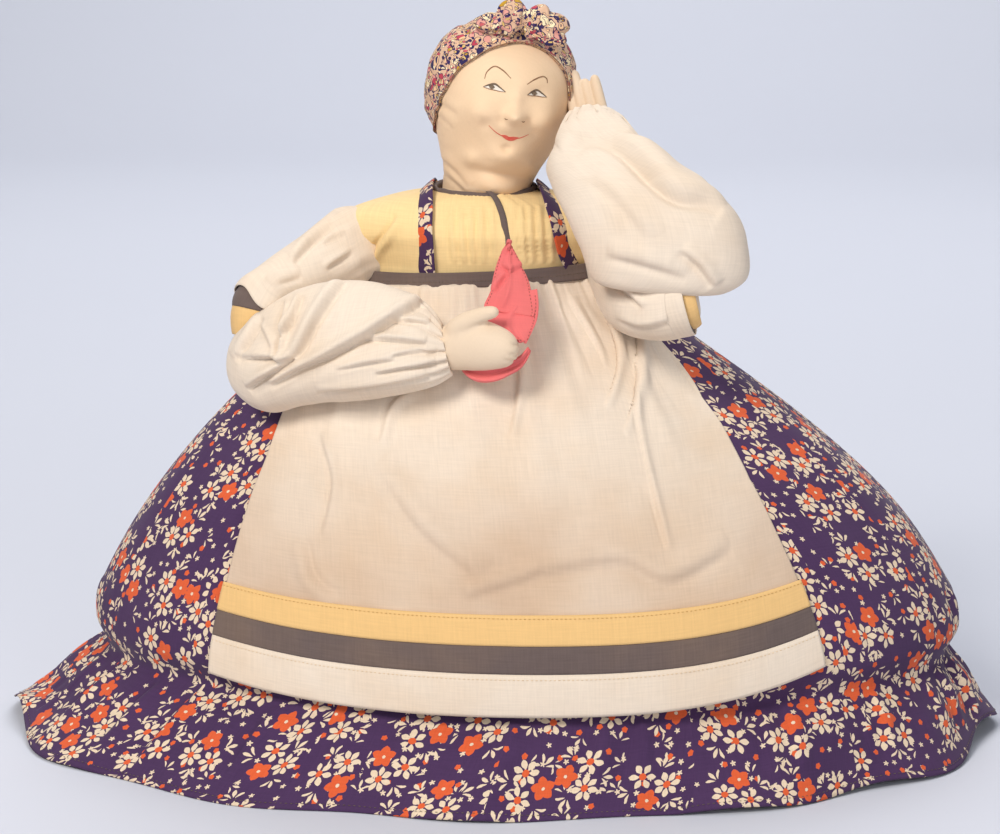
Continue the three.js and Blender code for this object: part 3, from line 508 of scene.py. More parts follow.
def form_cloth(name, material, columns, rows, place, panels=((0.0, 1.0),), away=None):
    """Cloth from a grid: place(u, v) gives each point in millimetres.

    Its UV map is the cloth laid flat, in metres, cut into panels across u.
    Each panel is cut from another place of the cloth."""
    panel_shift = 7.3
    bm = bmesh.new()
    uv = bm.loops.layers.uv.new(UV_NAME)
    bmesh.ops.create_grid(bm, x_segments=columns, y_segments=rows, size=0.5)
    spots = {v: (round((v.co.x + 0.5) * columns), round((v.co.y + 0.5) * rows)) for v in bm.verts}
    at = np.zeros((rows + 1, columns + 1, 3))
    for vert, (i, j) in spots.items():
        at[j, i] = vert.co = place(i / columns, j / rows) * MM
    across = np.zeros((rows + 1, columns + 1))
    across[:, 1:] = np.cumsum(np.linalg.norm(np.diff(at, axis=1), axis=2), axis=1)
    down = np.zeros((rows + 1, columns + 1))
    down[1:] = np.cumsum(np.linalg.norm(np.diff(at, axis=0), axis=2), axis=0)
    for face in bm.faces:
        u = sum(spots[v][0] for v in face.verts) / (4 * columns)
        low, high = next((p for p in panels if p[0] <= u <= p[1]), panels[-1])
        centre = round((low + high) / 2 * columns)
        for loop in face.loops:
            i, j = spots[loop.vert]
            loop[uv].uv = (across[j, i] - across[j, centre] + low * panel_shift, down[j, centre])
    bmesh.ops.remove_doubles(bm, verts=bm.verts, dist=1e-6)
    bmesh.ops.dissolve_degenerate(bm, dist=1e-7, edges=bm.edges)
    face_out(bm, away)
    return keep_mesh(bm, name, material)


def thicken(piece, thickness):
    """Gives cloth its thickness in metres, inwards."""
    solidify = piece.modifiers.new("cloth thickness", "SOLIDIFY")
    solidify.thickness = thickness
    solidify.offset = -1
    solidify.use_even_offset = False


def dress(piece, nodes, slot, body=None, joint=None):
    """What the piece stands for, whose CAD parts it hides, and what it moves with. Its finish, the slot, is
    not used.

    That is a body. The joint, two bodies and the way between them in millimetres, is not used; without a body
    the piece stays where it is."""
    if nodes:
        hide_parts(*nodes)
    if body:
        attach(piece, body)
    else:
        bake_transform(piece)


def sew(piece, nodes, slot, under, thickness, flat, held, **moves):
    """Finishes a sheet: gives it its thickness, in metres, and dresses it.

    What lies under it, its size before sewing, in metres, and how it is held are not used."""
    thicken(piece, thickness)
    dress(piece, nodes, slot, **moves)


def pad(piece, nodes, slot, body):
    """Finishes a stuffed piece."""
    dress(piece, nodes, slot, body=body)


def openness(v, start, end):
    """How open a limb or bag is at v, where it closes in a round over a share of its start or end."""
    if start and v < start:
        return math.sqrt(max(0.0, 1 - (1 - v / start) ** 2))
    if end and v > 1 - end:
        return math.sqrt(max(0.0, 1 - (1 - (1 - v) / end) ** 2))
    return 1.0


def stuffed_limb(stations, wide, start=0.0, end=0.0):
    """place(u, v) of an oval limb through rows of [x, y, z, half width, half thickness].

    start and end are the shares over which its ends are rounded."""

    def place(u, v):
        x, y, z, width, thickness = through(stations, v)
        ahead = Vector(through(stations, v + 0.01)[:3]) - Vector(through(stations, v - 0.01)[:3])
        thick = ahead.cross(wide).normalized()
        across = thick.cross(ahead).normalized()
        close = openness(v, start, end)
        angle = TURN * u
        return (Vector((x, y, z)) + across * (width * close * math.cos(angle))
                + thick * (thickness * close * math.sin(angle)))

    return place


def soft_bag(stations, start=0.0):
    """place(u, v) of a flat bag through rows of [edge x, y, z, other edge x, y, z, half thickness].

    It thins to an edge over the start's share."""

    def place(u, v):
        row = through(stations, v)
        one, other = Vector(row[:3]), Vector(row[3:6])
        after, before = through(stations, v + 0.01), through(stations, v - 0.01)
        ahead = Vector([after[i] + after[i + 3] - before[i] - before[i + 3] for i in range(3)])
        half = (one - other) / 2
        thick = half.cross(ahead).normalized()
        close = openness(v, start, 0.0)
        c, s = math.cos(TURN * u), math.sin(TURN * u)
        across = math.copysign(abs(c) ** 0.85, c)
        return (one + other) / 2 + half * across + thick * (row[6] * close * s)

    return place


def middle_line(place, share):
    """The middle of a limb or bag at a share of its length."""
    return sum((place(k / 4, share) for k in range(4)), Vector()) / 4


def crease(piece, lines, toward=Vector((0.05, -0.95, 0.2)), plane=(0, 2)):
    """Presses folds into cloth along lines of (depth, width, points in the plane, x and z unless told).

    Each line is a valley with a ridge on the left of its way.
    Only the side facing the given way is pressed."""
    mesh = piece.data
    count = len(mesh.vertices)
    at, out = np.empty(count * 3), np.empty(count * 3)
    mesh.vertices.foreach_get("co", at)
    mesh.vertex_normals.foreach_get("vector", out)
    at, out = at.reshape(-1, 3) / MM, out.reshape(-1, 3)
    flat = at[:, plane]
    move = np.zeros(count)
    steps = 24
    for depth, width, points in lines:
        path = np.array([through(points, k / steps) for k in range(steps + 1)])
        nearest, side, share = np.full(count, 1e9), np.zeros(count), np.zeros(count)
        for k in range(steps):
            along = path[k + 1] - path[k]
            part = np.clip((flat - path[k]) @ along / max(along @ along, 1e-9), 0, 1)
            gap = flat - path[k] - part[:, None] * along
            distance = np.hypot(gap[:, 0], gap[:, 1])
            closer = distance < nearest
            nearest = np.where(closer, distance, nearest)
            side = np.where(closer, np.sign(along[0] * gap[:, 1] - along[1] * gap[:, 0]), side)
            share = np.where(closer, (k + part) / steps, share)
        aside = nearest * side / width
        ridge = 0.9 * np.exp(-(((aside - 0.85) / 0.65) ** 2))
        valley = np.exp(-((aside / 0.36) ** 2))
        hollow = 0.3 * np.exp(-(((aside + 0.8) / 0.7) ** 2))
        move += depth * (ridge - valley - hollow) * np.sqrt(np.clip(np.sin(math.pi * share), 0, 1))
    facing = np.clip(2.2 * (out @ np.array(toward)), 0, 1)
    at += out * (move * facing)[:, None]
    mesh.vertices.foreach_set("co", (at * MM).ravel())
    mesh.update()


def even_cells(piece, cell):
    """The piece's mesh remade in even cells of a size in metres."""
    remesh = piece.modifiers.new("even cells", "REMESH")
    remesh.mode = "VOXEL"
    remesh.voxel_size = cell
    even = bpy.data.meshes.new_from_object(piece.evaluated_get(bpy.context.evaluated_depsgraph_get()))
    piece.modifiers.clear()
    return even


def fuse(name, material, limbs, cell, passes):
    """Several limbs grown into one stuffed piece, smoothed in passes."""
    bm = bmesh.new()
    for i, (columns, rows, place) in enumerate(limbs):
        limb = form_cloth(f"{name}_{i}", material, columns, rows, place)
        bm.from_mesh(limb.data)
        bpy.data.objects.remove(limb)
    piece = keep_mesh(bm, name, material)
    bm = bmesh.new()
    bm.from_mesh(even_cells(piece, cell))
    for _ in range(passes):
        bmesh.ops.smooth_vert(
            bm, verts=bm.verts, factor=0.5, use_axis_x=True, use_axis_y=True, use_axis_z=True)
    bm.to_mesh(piece.data)
    bm.free()
    piece.data.polygons.foreach_set("use_smooth", [True] * len(piece.data.polygons))
    return piece


def reshape(piece, move):
    """Moves each point of a finished mesh: move(point, normal) gives its new place, in millimetres."""
    bm = bmesh.new()
    bm.from_mesh(piece.data)
    bm.normal_update()
    moved = [move(v.co / MM, v.normal) * MM for v in bm.verts]
    for vert, co in zip(bm.verts, moved):
        vert.co = co
    bm.to_mesh(piece.data)
    bm.free()


FILLING_PRESSURE = 4.0
FILLING_FRAMES = 20


def plump(piece, cell, reach):
    """Lets the filling press the cloth out: a short cloth simulation on a mesh of the given cell, in metres.

    No point moves further than the reach, in metres; the result is kept as the mesh, subdivided once."""
    scene = bpy.context.scene
    even = even_cells(piece, cell)
    even.materials.clear()
    even.materials.append(piece.data.materials[0])
    piece.data = even
    start = np.empty(len(even.vertices) * 3)
    even.vertices.foreach_get("co", start)
    filling = piece.modifiers.new("filling", "CLOTH")
    filling.settings.use_pressure = True
    filling.settings.uniform_pressure_force = FILLING_PRESSURE
    filling.settings.effector_weights.gravity = 0.0
    filling.point_cache.frame_start = 1
    filling.point_cache.frame_end = FILLING_FRAMES
    for moment in range(1, FILLING_FRAMES + 1):
        scene.frame_set(moment)
    pressed = piece.evaluated_get(bpy.context.evaluated_depsgraph_get()).data
    end = np.empty(len(even.vertices) * 3)
    pressed.vertices.foreach_get("co", end)
    scene.frame_set(1)
    piece.modifiers.clear()
    move = (end - start).reshape(-1, 3)
    length = np.linalg.norm(move, axis=1, keepdims=True)
    move *= reach * np.tanh(length / reach) / np.maximum(length, 1e-9)
    even.vertices.foreach_set("co", start + move.ravel())
    even.update()
    smooth = piece.modifiers.new("subdivision", "SUBSURF")
    smooth.levels = smooth.render_levels = 1


def stitch_row(name, thread, line, slot, body, pitch, thick):
    """A row of stitches along [(point, outward)], in millimetres: short humps of thread with a few faces."""
    long = 0.62
    bm = bmesh.new()
    travelled = 0.0
    due = pitch / 2
    for (a, out), (b, _) in zip(line, line[1:]):
        step = (b - a).length
        while step > 1e-9 and due <= travelled + step:
            at = a.lerp(b, (due - travelled) / step)
            ahead = (b - a).normalized()
            side = ahead.cross(out).normalized()
            up = side.cross(ahead).normalized()
            turn = Matrix((ahead, side, up)).transposed().to_4x4()
            size = Matrix.Diagonal((pitch * long / 2 * MM, thick * MM, thick * 0.8 * MM, 1))
            bmesh.ops.create_icosphere(
                bm, subdivisions=1, radius=1.0, matrix=Matrix.Translation(at * MM) @ turn @ size)
            due += pitch
        travelled += step
    dress(keep_mesh(bm, name, thread), [], slot, body=body)


def surface_of(piece):
    """The piece's faces, for finding places on them, in millimetres."""
    mesh = piece.data
    return BVHTree.FromPolygons([v.co / MM for v in mesh.vertices], [p.vertices[:] for p in mesh.polygons])


# Body shapes


def skirt_fall(height):
    """How far down the bell a height is, from the chest band (0) to the crease above the flounce (1)."""
    return clamp((CHEST_HEIGHT - height) / (CHEST_HEIGHT - CREASE_HEIGHT))


def skirt_section(height):
    """Half width, half depth and middle of the skirt's smooth bell at a height."""
    swell = math.sin(math.pi / 2 * skirt_fall(height)) ** 1.15
    return lerp(WAIST[0], BELL[0], swell), lerp(WAIST[1], BELL[1], swell), lerp(TORSO_X, BELL_X, swell)


def skirt_place(angle, height, out=0.0):
    """A place on the bell, or further out."""
    a, b, middle = skirt_section(height)
    return Vector((middle + (a + out) * math.sin(angle), -(b + out) * math.cos(angle), height))


def skirt_fold(angle, height):
    """Hanging folds at the sides and back, uneven, fading under the apron."""
    fall = skirt_fall(height)
    side = ease(abs(math.degrees(angle)), 44, 72)
    wave = 0.5 - 0.5 * math.cos(12 * angle + 0.7 * rough(angle * 2, 3.1))
    uneven = 0.75 + 0.5 * rough(math.cos(angle) * 2.2, math.sin(angle) * 2.2, height / 160)
    gathers = 1.1 * bell(fall, 0.04, 0.12) * rough(angle * 16, 0.3, height / 90)
    swing = 2.2 * rough(math.sin(angle) * 3.1, math.cos(angle) * 3.1, height / 70) * math.sin(math.pi * fall)
    return side * (sizes().skirt_fold / MM * math.sin(math.pi * fall) * wave * uneven + swing) + gathers


def skirt_bulge(height):
    """How far the bell stands out above its crease."""
    return 2.2 * bell(height, 70, 17)


CHEST_ROWS = (
    # half width, half depth, height over the chest band
    (52.5, 32.7, -9), (60.5, 37.5, -3.5), (62, 39, 4.5), (65.5, 40.5, 12),
    (73, 41, 20), (71, 37, 28), (49, 31, 35.5), (26.5, 24.5, 39),
)


def torso_place(angle, share, out=0.0):
    """The chest from the band (0) to the neckline (1)."""
    at = lerp(0.09, 1.0, share)
    a, b, rise = through(CHEST_ROWS, at)
    above, _, rise_above = through(CHEST_ROWS, at + 0.02)
    below, _, rise_below = through(CHEST_ROWS, at - 0.02)
    slope = math.hypot(above - below, rise_above - rise_below) or 1.0
    side, up = out * (rise_above - rise_below) / slope, -out * (above - below) / slope
    x, y = TORSO_X + (a + side) * math.sin(angle), -(b + side) * math.cos(angle)
    return Vector((x, y, CHEST_HEIGHT + rise + up))


def in_head(x, y, z):
    """A place of the head's own frame, above the neck, in the doll's frame."""
    c, s = math.cos(HEAD_ROLL), math.sin(HEAD_ROLL)
    return Vector((NECK.x + x * c + z * s, NECK.y + y, NECK.z - x * s + z * c))


# Operators


class DOLL_OT_cosy(bpy.types.Operator):
    """Padded dome that keeps the teapot warm, with its quilted lining"""

    bl_idname = "doll.cosy"
    bl_label = "Cosy padding and lining"

    def execute(self, context):
        make_materials()

        def quilt(angle, height):
            """Depth of the quilting, deepest in the middle of each diamond."""
            turns = 16 * angle / TURN
            rows = height / 34
            return 1.6 * abs(math.sin(math.pi * (turns + rows)) * math.sin(math.pi * (turns - rows))) ** 0.6

        def shell(inset, top, puff):
            """place(u, v) of a quilted dome in the skirt, from the middle of its roof to the table."""
            roof = 0.16
            bottom = 0.6

            def place(u, v):
                angle = TURN * u - math.pi
                if v < roof:
                    share = v / roof
                    a, b, middle = skirt_section(top)
                    x = middle + (a - inset) * share * math.sin(angle)
                    y = -(b - inset) * share * math.cos(angle)
                    return Vector((x, y, top)) - Vector((0, 0, puff * quilt(angle, 120 * share) * share))
                height = lerp(top, bottom, (v - roof) / (1 - roof))
                return skirt_place(angle, max(height, 0), -inset - puff * quilt(angle, height))

            return place

        padding = form_cloth(
            "quilted_padding", "cotton_wadding", 120, 60, shell(inset=7.5, top=232, puff=0.3))
        thicken(padding, 0.0085)
        pad(padding, ["cosy_padding"], "wadding", "body")
        lining = form_cloth(
            "quilted_lining", "cream_plain_weave", 160, 80, shell(inset=17.2, top=222.5, puff=0.6))
        sew(lining, ["cosy_lining"], "cream_cotton", "quilted_padding",
            thickness=0.0007, flat=(1.1, 0.32), held="stretched", body="body")
        return {"FINISHED"}


class DOLL_OT_skirt(bpy.types.Operator):
    """Printed skirt, hanging over the dome and spreading on the table"""

    bl_idname = "doll.skirt"
    bl_label = "Skirt"

    def execute(self, context):
        make_materials()
        # Share of the cloth at which the bell ends and the flounce begins
        bend = 0.74
        # How far the flounce spreads at the sides, and in front and behind
        flounce = (38, 29)
        lift = sizes().hem_lift / MM

        def tuck(angle):
            """How far the cloth is drawn in where the bell ends and the flounce begins."""
            return 6.0 * (0.8 + 0.55 * rough(math.sin(angle) * 4, math.cos(angle) * 4, 1.7))

        def bell_place(angle, share):
            height = lerp(CHEST_HEIGHT - 2, CREASE_HEIGHT, share**0.94)
            out = skirt_fold(angle, height) + skirt_bulge(height) - tuck(angle) * ease(-height, -60, -46)
            return skirt_place(angle, height, out)

        def flounce_place(angle, share):
            degrees = math.degrees(angle)
            around = (math.sin(angle) * 1.7, math.cos(angle) * 1.7)
            a, b, middle = skirt_section(CREASE_HEIGHT)
            flare = share**1.1
            wave = 7 * (0.5 - 0.5 * math.cos(12 * angle + 1.6 * rough(angle * 1.3, 9.2)))
            ripple = 3.4 * rough(around[0] * 2.6, around[1] * 2.6, share * 1.3) * math.sin(math.pi * share)
            out = ripple - tuck(angle) * (1 - ease(share, 0, 0.4))
            tip = bell(degrees, -83, 8) + bell(degrees, 80, 8)
            wide = a + (flounce[0] - wave) * flare + out - 4 * tip * share**5
            x = middle - BELL_X * flare + wide * math.sin(angle)
            y = -(b + (flounce[1] - wave) * flare + out) * math.cos(angle)
            raised = max(0.0, rough(around[0] * 1.9, around[1] * 1.9, 2.7) + 0.15) * lift + 9 * tip * share**2
            billow = 3.5 * rough(around[0] * 3.2, around[1] * 3.2, 7.1) * math.sin(math.pi * share)
            z = CREASE_HEIGHT * (1 - share) + raised * ease(share, 0.5, 1) + billow
            return Vector((x, y, max(0.8, z)))

        def place(u, v):
            angle = TURN * u - math.pi
            if v <= bend:
                return bell_place(angle, v / bend)
            return flounce_place(angle, (v - bend) / (1 - bend))

        gores = 16
        panels = [(k / gores, (k + 1) / gores) for k in range(gores)]
        skirt = form_cloth("skirt_cloth", "ditsy_print_cotton", 400, 118, place, panels)

        # Short pleats run out of the crease into the flounce
        draw = random.Random(11)
        pleats = []
        for k in range(40):
            angle = math.radians(9 * k + draw.uniform(-3, 3) - 180)
            lean = draw.uniform(-0.05, 0.05)
            levels = (0.755, 0.83, 0.9 + draw.uniform(0, 0.06))
            run = [place(((angle + lean * t) + math.pi) / TURN % 1.0, t) for t in levels]
            pleats.append((draw.uniform(1.2, 3.4), draw.uniform(4, 8), [(p.x, p.y) for p in run]))
        crease(skirt, pleats, toward=UP, plane=(0, 1))
        sew(skirt, ["skirt"], "purple_floral_cotton", "quilted_padding",
            thickness=sizes().cloth, flat=(1.34, 0.31), held="gathered", body="body")
        hem = [(place(i / 360, 0.985) + Vector((0, 0, 0.4)), UP) for i in range(361)]
        stitch_row("skirt_hem_stitching", "dark_thread", hem, "purple_floral_cotton", "body",
                   pitch=2.6, thick=0.22)
        return {"FINISHED"}


def strap_line(side):
    """The middle of a strap from the band in front, over the shoulder, to the band behind.

    side is -1 on the right and 1 on the left."""
    rows = 64
    apart = 31
    front_apart = 48 if side > 0 else 26.5
    line = []
    for k in range(rows + 1):
        over = abs(2 * k / rows - 1)
        front = k < rows / 2
        out = lerp(apart, front_apart if front else apart, over)
        # The level at which the shoulder is as wide as the straps are apart
        low, high = 0.0, 1.0
        for _ in range(30):
            middle = (low + high) / 2
            reach = torso_place(math.pi / 2, middle).x - TORSO_X
            low, high = (middle, high) if reach > out or middle < 0.5 else (low, middle)
        level = lerp(0.0, low, 1 - over**1.6)
        wide = torso_place(math.pi / 2, level).x - TORSO_X
        angle = math.asin(clamp(out / wide, -1, 1)) * side
        line.append(torso_place(angle if front else math.pi - angle, level, 2.7))
    for _ in range(2):
        inner = [(line[k - 1] + line[k] * 2 + line[k + 1]) / 4 for k in range(1, rows)]
        line = [line[0], *inner, line[-1]]
    return line


def strap_shape(line):
    """place(u, v) of a flat strap along a line over the shoulder."""
    last = len(line) - 1
    strap_width = 12

    def place(u, v):
        at = v * last
        k = min(int(at), last - 1)
        p = line[k].lerp(line[k + 1], at - k)
        ahead = line[min(k + 2, last)] - line[max(k - 1, 0)]
        outward = p - Vector((TORSO_X, 0, CHEST_HEIGHT + 8))
        outward = (outward - ahead * outward.dot(ahead) / ahead.length_squared).normalized()
        across = ahead.cross(outward).normalized()
        crown = 0.5 * (1 - (2 * u - 1) ** 2)
        return p + across * ((u - 0.5) * strap_width) + outward * crown

    return place


class DOLL_OT_bodice(bpy.types.Operator):
    """Stuffed chest, gathered blouse, straps, chest band and bindings"""

    bl_idname = "doll.bodice"
    bl_label = "Bodice"

    def execute(self, context):
        make_materials()

        def chest_place(u, v):
            if v == 0:
                return Vector((TORSO_X, 0, CHEST_HEIGHT - 4))
            if v == 1:
                return Vector((TORSO_X, 0, CHEST_HEIGHT + 38))
            return torso_place(TURN * u, clamp((v - 0.04) / 0.92), -1.2)

        chest = form_cloth("stuffed_chest", "skin_calico", 72, 30, chest_place)
        pad(chest, ["torso"], "skin_cloth", "body")

        def blouse_place(u, v):
            angle = TURN * u - math.pi
            degrees = math.degrees(angle)
            front = min(abs(angle), math.pi - abs(angle))
            gathered = (1 - ease(math.degrees(front), 22, 34)) * 1.1
            ridges = gathered * (0.5 + 0.5 * rough(math.sin(angle) * 26, math.cos(angle) * 2, v * 0.8)) * (
                0.35 + 0.65 * ease(v, 0.25, 0.9))
            tug = 2.0 * bell(degrees, -62, 9 + 16 * v) * bell(v, 0.45, 0.32)
            tug += 1.6 * bell(degrees, 66, 10) * bell(v, 0.4, 0.3)
            loose = 0.8 * rough(math.sin(angle) * 3, math.cos(angle) * 3, v * 2)
            return torso_place(angle, v, 1.3 + ridges + tug + loose * 0.6)

        blouse = form_cloth("gathered_blouse", "blouse_plain_weave", 320, 80, blouse_place)
        gathers = (-25, -20, -15, -10, -4, 11, 15, 20, 25)
        folds = [(1.4, 1.8, ((x, 281), (x + 1, 267), (x + 2, 252))) for x in gathers]
        armhole = (2.6, 4.0, ((-52, 276), (-58, 267), (-64, 258), (-68, 249)))
        crease(blouse, [*folds, armhole])
        sew(blouse, ["blouse"], "yellow_cotton", "stuffed_chest",
            thickness=sizes().cloth, flat=(0.42, 0.12), held="gathered", body="body")
        for side, name in ((-1, "right"), (1, "left")):
            shape = strap_shape(strap_line(side))
            strap = form_cloth(f"floral_strap_{name}", "ditsy_print_cotton", 12, 120, shape)
            sew(strap, [f"strap_{name}"], "purple_floral_cotton", "gathered_blouse",
                thickness=0.0009, flat=(0.012, 0.13), held="stretched", body="body")

        # Chest band over the seam of blouse and skirt
        def band_place(u, v):
            angle = TURN * u - math.pi
            height = CHEST_HEIGHT + 2.6 - 7.6 * v
            a, b, middle = skirt_section(min(height, CHEST_HEIGHT))
            crown = 2.6 + 0.7 * math.sin(math.pi * v) + 0.25 * rough(angle * 6, v)
            tilt = 0.05 * (middle + a * math.sin(angle) - TORSO_X)
            x, y = middle + (a + crown) * math.sin(angle), -(b + crown) * math.cos(angle)
            return Vector((x, y, height + tilt))

        band = form_cloth("grey_chest_band", "grey_plain_weave", 240, 10, band_place)
        sew(band, ["chest_band"], "grey_cotton", "skirt_cloth",
            thickness=0.0011, flat=(0.36, 0.016), held="stretched", body="body")
        line = []
        for i in range(361):
            angle = TURN * i / 360 - math.pi
            line.append((band_place(i / 360, 0.6), Vector((math.sin(angle), -math.cos(angle), 0))))
        pitch = sizes().stitch_pitch / MM
        stitch_row("chest_band_stitching", "dark_thread", line, "grey_cotton", "body",
                   pitch=pitch, thick=0.26)

        # Rolled binding round the neckline, lower in front
        def binding_place(u, v):
            angle = TURN * u - math.pi
            round_it = TURN * v
            radius = 26.2 + 1.5 * math.cos(round_it)
            dip = -3.2 * (0.5 + 0.5 * math.cos(angle)) + 0.4 * rough(angle * 4, 6.6)
            height = CHEST_HEIGHT + 42.3 + dip + 2.1 * math.sin(round_it)
            return Vector((TORSO_X + radius * math.sin(angle), -radius * math.cos(angle), height))

        binding = form_cloth("neck_binding_cloth", "grey_plain_weave", 140, 14, binding_place)
        dress(binding, ["neck_binding"], "grey_cotton", body="body")

        # Binding of the slit, hanging from the neckline
        def placket_place(u, v):
            x = TORSO_X + 3 + 11.5 * math.sin(math.pi / 2 * min(1.0, 1.5 * v))
            angle = math.asin(clamp((x - TORSO_X) / 64, -0.9, 0.9)) * lerp(2.2, 1.0, v)
            p = torso_place(angle, lerp(1.0, 0.08, v), 3.0 + 0.5 * math.sin(math.pi * u))
            return Vector((x + (u - 0.5) * 3.4, p.y - 0.5, p.z))

        placket = form_cloth("placket_binding_cloth", "grey_plain_weave", 8, 60, placket_place, away=FRONT)
        sew(placket, ["placket_binding"], "grey_cotton", "gathered_blouse",
            thickness=0.0012, flat=(0.0102, 0.045), held="hung", body="body")
        return {"FINISHED"}


# Creases of the apron: depth, width and the line of the valley as (x, z)
APRON_CREASES = (
    (3.4, 5.0, ((51, 235), (55, 225), (60, 205), (54, 186))),
    (3.6, 5.5, ((61, 232), (68, 221), (70, 197), (63, 174))),
    (3.0, 6.0, ((82, 212), (98, 191), (117, 171), (131, 150))),
    (1.8, 3.0, ((68, 198), (74, 166), (81, 142), (87, 122))),
    (2.4, 4.0, ((35, 234), (39, 227), (50, 211), (54, 201))),
    (2.6, 4.0, ((12, 208), (11, 191), (8, 174))),
    (2.6, 4.5, ((-38, 198), (-52, 187), (-57, 170))),
    (2.6, 9.0, ((-60, 156), (-33, 128), (-4, 108))),
    (2.4, 7.0, ((20, 110), (63, 116), (89, 107), (120, 120))),
    (1.8, 6.0, ((-72, 100), (-85, 108), (-90, 124))),
    (1.8, 6.0, ((-10, 100), (8, 105), (29, 112))),
    (1.6, 4.0, ((-88, 170), (-80, 150), (-84, 126))),
)
# Bands of the apron: name, slot, cloth, top, bottom, how far it stands proud, thread
APRON_BANDS = (
    ("yellow", "yellow_cotton", "yellow_plain_weave", 97, 83, 0.35, "yellow_thread"),
    ("grey", "grey_cotton", "grey_plain_weave", 83, 70, 0.0, None),
    ("hem", "cream_cotton", "cream_plain_weave", 70, 49.6, 0.0, "cream_thread"),
)


class DOLL_OT_apron(bpy.types.Operator):
    """Cream apron gathered under the chest band, with its yellow, grey and cream bands"""

    bl_idname = "doll.apron"
    bl_label = "Apron"

    def execute(self, context):
        make_materials()
        draw = random.Random(7)
        # Folds under the chest band: place across, width, depth in mm and length, the others as shares
        folds = [
            (draw.uniform(0.04, 0.96), draw.uniform(0.008, 0.02), draw.uniform(1.0, 2.6),
             draw.uniform(0.25, 0.75))
            for _ in range(22)
        ]
        gather = sizes().apron_gather / MM

        def apron_place(u, v, out=0.0):
            height = lerp(APRON_TOP, APRON_HEM_HEIGHT, v)
            rise = (height - APRON_HEM_HEIGHT) / (CHEST_HEIGHT - APRON_HEM_HEIGHT)
            fall = 1 - rise
            half = APRON_HALF_ANGLE + APRON_TOP_SPREAD * rise**3
            angle = math.radians(half * (2 * u - 1))
            height += fall**2 * (9.5 * abs(2 * u - 1) ** 2.2 * (1 + 0.8 * ease(u, 0.5, 1)) - 4.5)
            height += rise**4 * 5 * math.sin(angle)
            fine = gather * (0.5 + 0.5 * rough(u * 62, 0.4 + fall * 2.0)) * math.exp(-fall / 0.13)
            broad = 0.0
            for at, width, depth, length in folds:
                lean = at + (at - 0.5) * 0.05 * fall
                spread = width * (1 + 2.2 * fall)
                broad += depth * bell(u, lean, spread) * (1 - ease(fall, length * 0.35, length))
            slack = 1.3 * rough(u * 3.2, fall * 2.4, 5.0) + 0.5 * rough(u * 9, fall * 7, 8.0)
            loose = 1.6 + 1.6 * ease(fall, 0.45, 0.55)
            below = ease(fall, 0.004, 0.03)
            away = loose + (1.5 * fine + broad) * below + slack * ease(fall, 0.1, 0.4) + out
            return skirt_place(angle, height, away)

        # Its cloth is darkened low down by brown soiling and painted shade
        apron = form_cloth("apron_cloth", "soiled_and_shaded_cream_weave", 300, 150, apron_place, away=FRONT_AND_UP)
        crease(apron, APRON_CREASES)

        def off_skirt(p, _):
            """Cloth that a crease has pressed into the skirt, put back on it."""
            a, b, middle = skirt_section(p.z)
            angle = math.atan2((p.x - middle) / a, -p.y / b)
            out = skirt_fold(angle, p.z) + skirt_bulge(p.z) + 1.7
            reach = math.hypot((p.x - middle) / (a + out), p.y / (b + out))
            if reach > 1 or p.z < 101:
                return p
            return Vector((middle + (p.x - middle) / reach, p.y / reach, p.z))

        reshape(apron, off_skirt)
        fold = [(0, -90, APRON_FOLD_HEIGHT + 14), (0, -90, APRON_FOLD_HEIGHT - 14)]
        panels = ["apron_upper_panel", "apron_lower_panel"]
        sew(apron, panels, "cream_cotton", "skirt_cloth",
            thickness=sizes().cloth, flat=(0.36, 0.25), held="gathered", joint=("body", "apron_flap", *fold))

        for name, slot, cloth, top, bottom, proud, thread in APRON_BANDS:
            def band_place(u, v):
                whole = (APRON_TOP - lerp(top, bottom, v)) / (APRON_TOP - APRON_HEM_HEIGHT)
                edge = 0.25 * (1 - (2 * v - 1) ** 6)
                return apron_place(0.5 + (u - 0.5) * 1.006, whole, 0.9 + edge + proud)

            band = form_cloth(f"apron_{name}_strip", cloth, 220, 12, band_place, away=FRONT_AND_UP)
            thicken(band, 0.0012)
            dress(band, [f"apron_{name}_band"], slot, body="apron_flap")
            if thread:
                line = []
                for i in range(241):
                    p = band_place(i / 240, 0.12)
                    outward = Vector((p.x / BELL[0], p.y / BELL[1], 0.1)).normalized()
                    line.append((p + Vector((0, -0.15, 0)), outward))
                stitch_row(f"apron_{name}_stitching", thread, line, slot, "apron_flap", pitch=2.2, thick=0.22)
        return {"FINISHED"}


FACE_BUMPS = (
    # across, up, how far out, half width, half height: nose, bridge, cheeks, lip, chin, jowls, double chin
    (8.6, 46.6, 8.6, 4.8, 4.0), (7.6, 55.0, 1.6, 3.2, 6.0),
    (-9.0, 45.5, 4.2, 9.5, 8.0), (22.8, 46.5, 4.2, 7.5, 8.0),
    (7.5, 40.0, 1.4, 7.0, 3.0), (8.5, 24.5, 4.6, 9.5, 6.0),
    (-9.5, 20.0, 3.2, 5.0, 4.5), (20.5, 22.0, 2.8, 4.4, 4.5), (8.0, 8.0, 5.2, 13.0, 5.0),
    # hollows: eye sockets, mouth corners, chin dimple, fold above the double chin, beside the nose
    (-5.0, 58.6, -1.5, 6.0, 3.4), (16.5, 60.0, -1.5, 5.5, 3.4), (-5.4, 40.0, -1.5, 3.6, 3.6),
    (18.2, 40.0, -1.4, 3.4, 3.6), (7.0, 29.6, -1.8, 2.6, 2.2), (8.0, 15.2, -2.4, 12.0, 2.2),
    (2.0, 44.0, -1.2, 2.2, 3.0), (15.2, 44.6, -1.2, 2.0, 3.0),
)

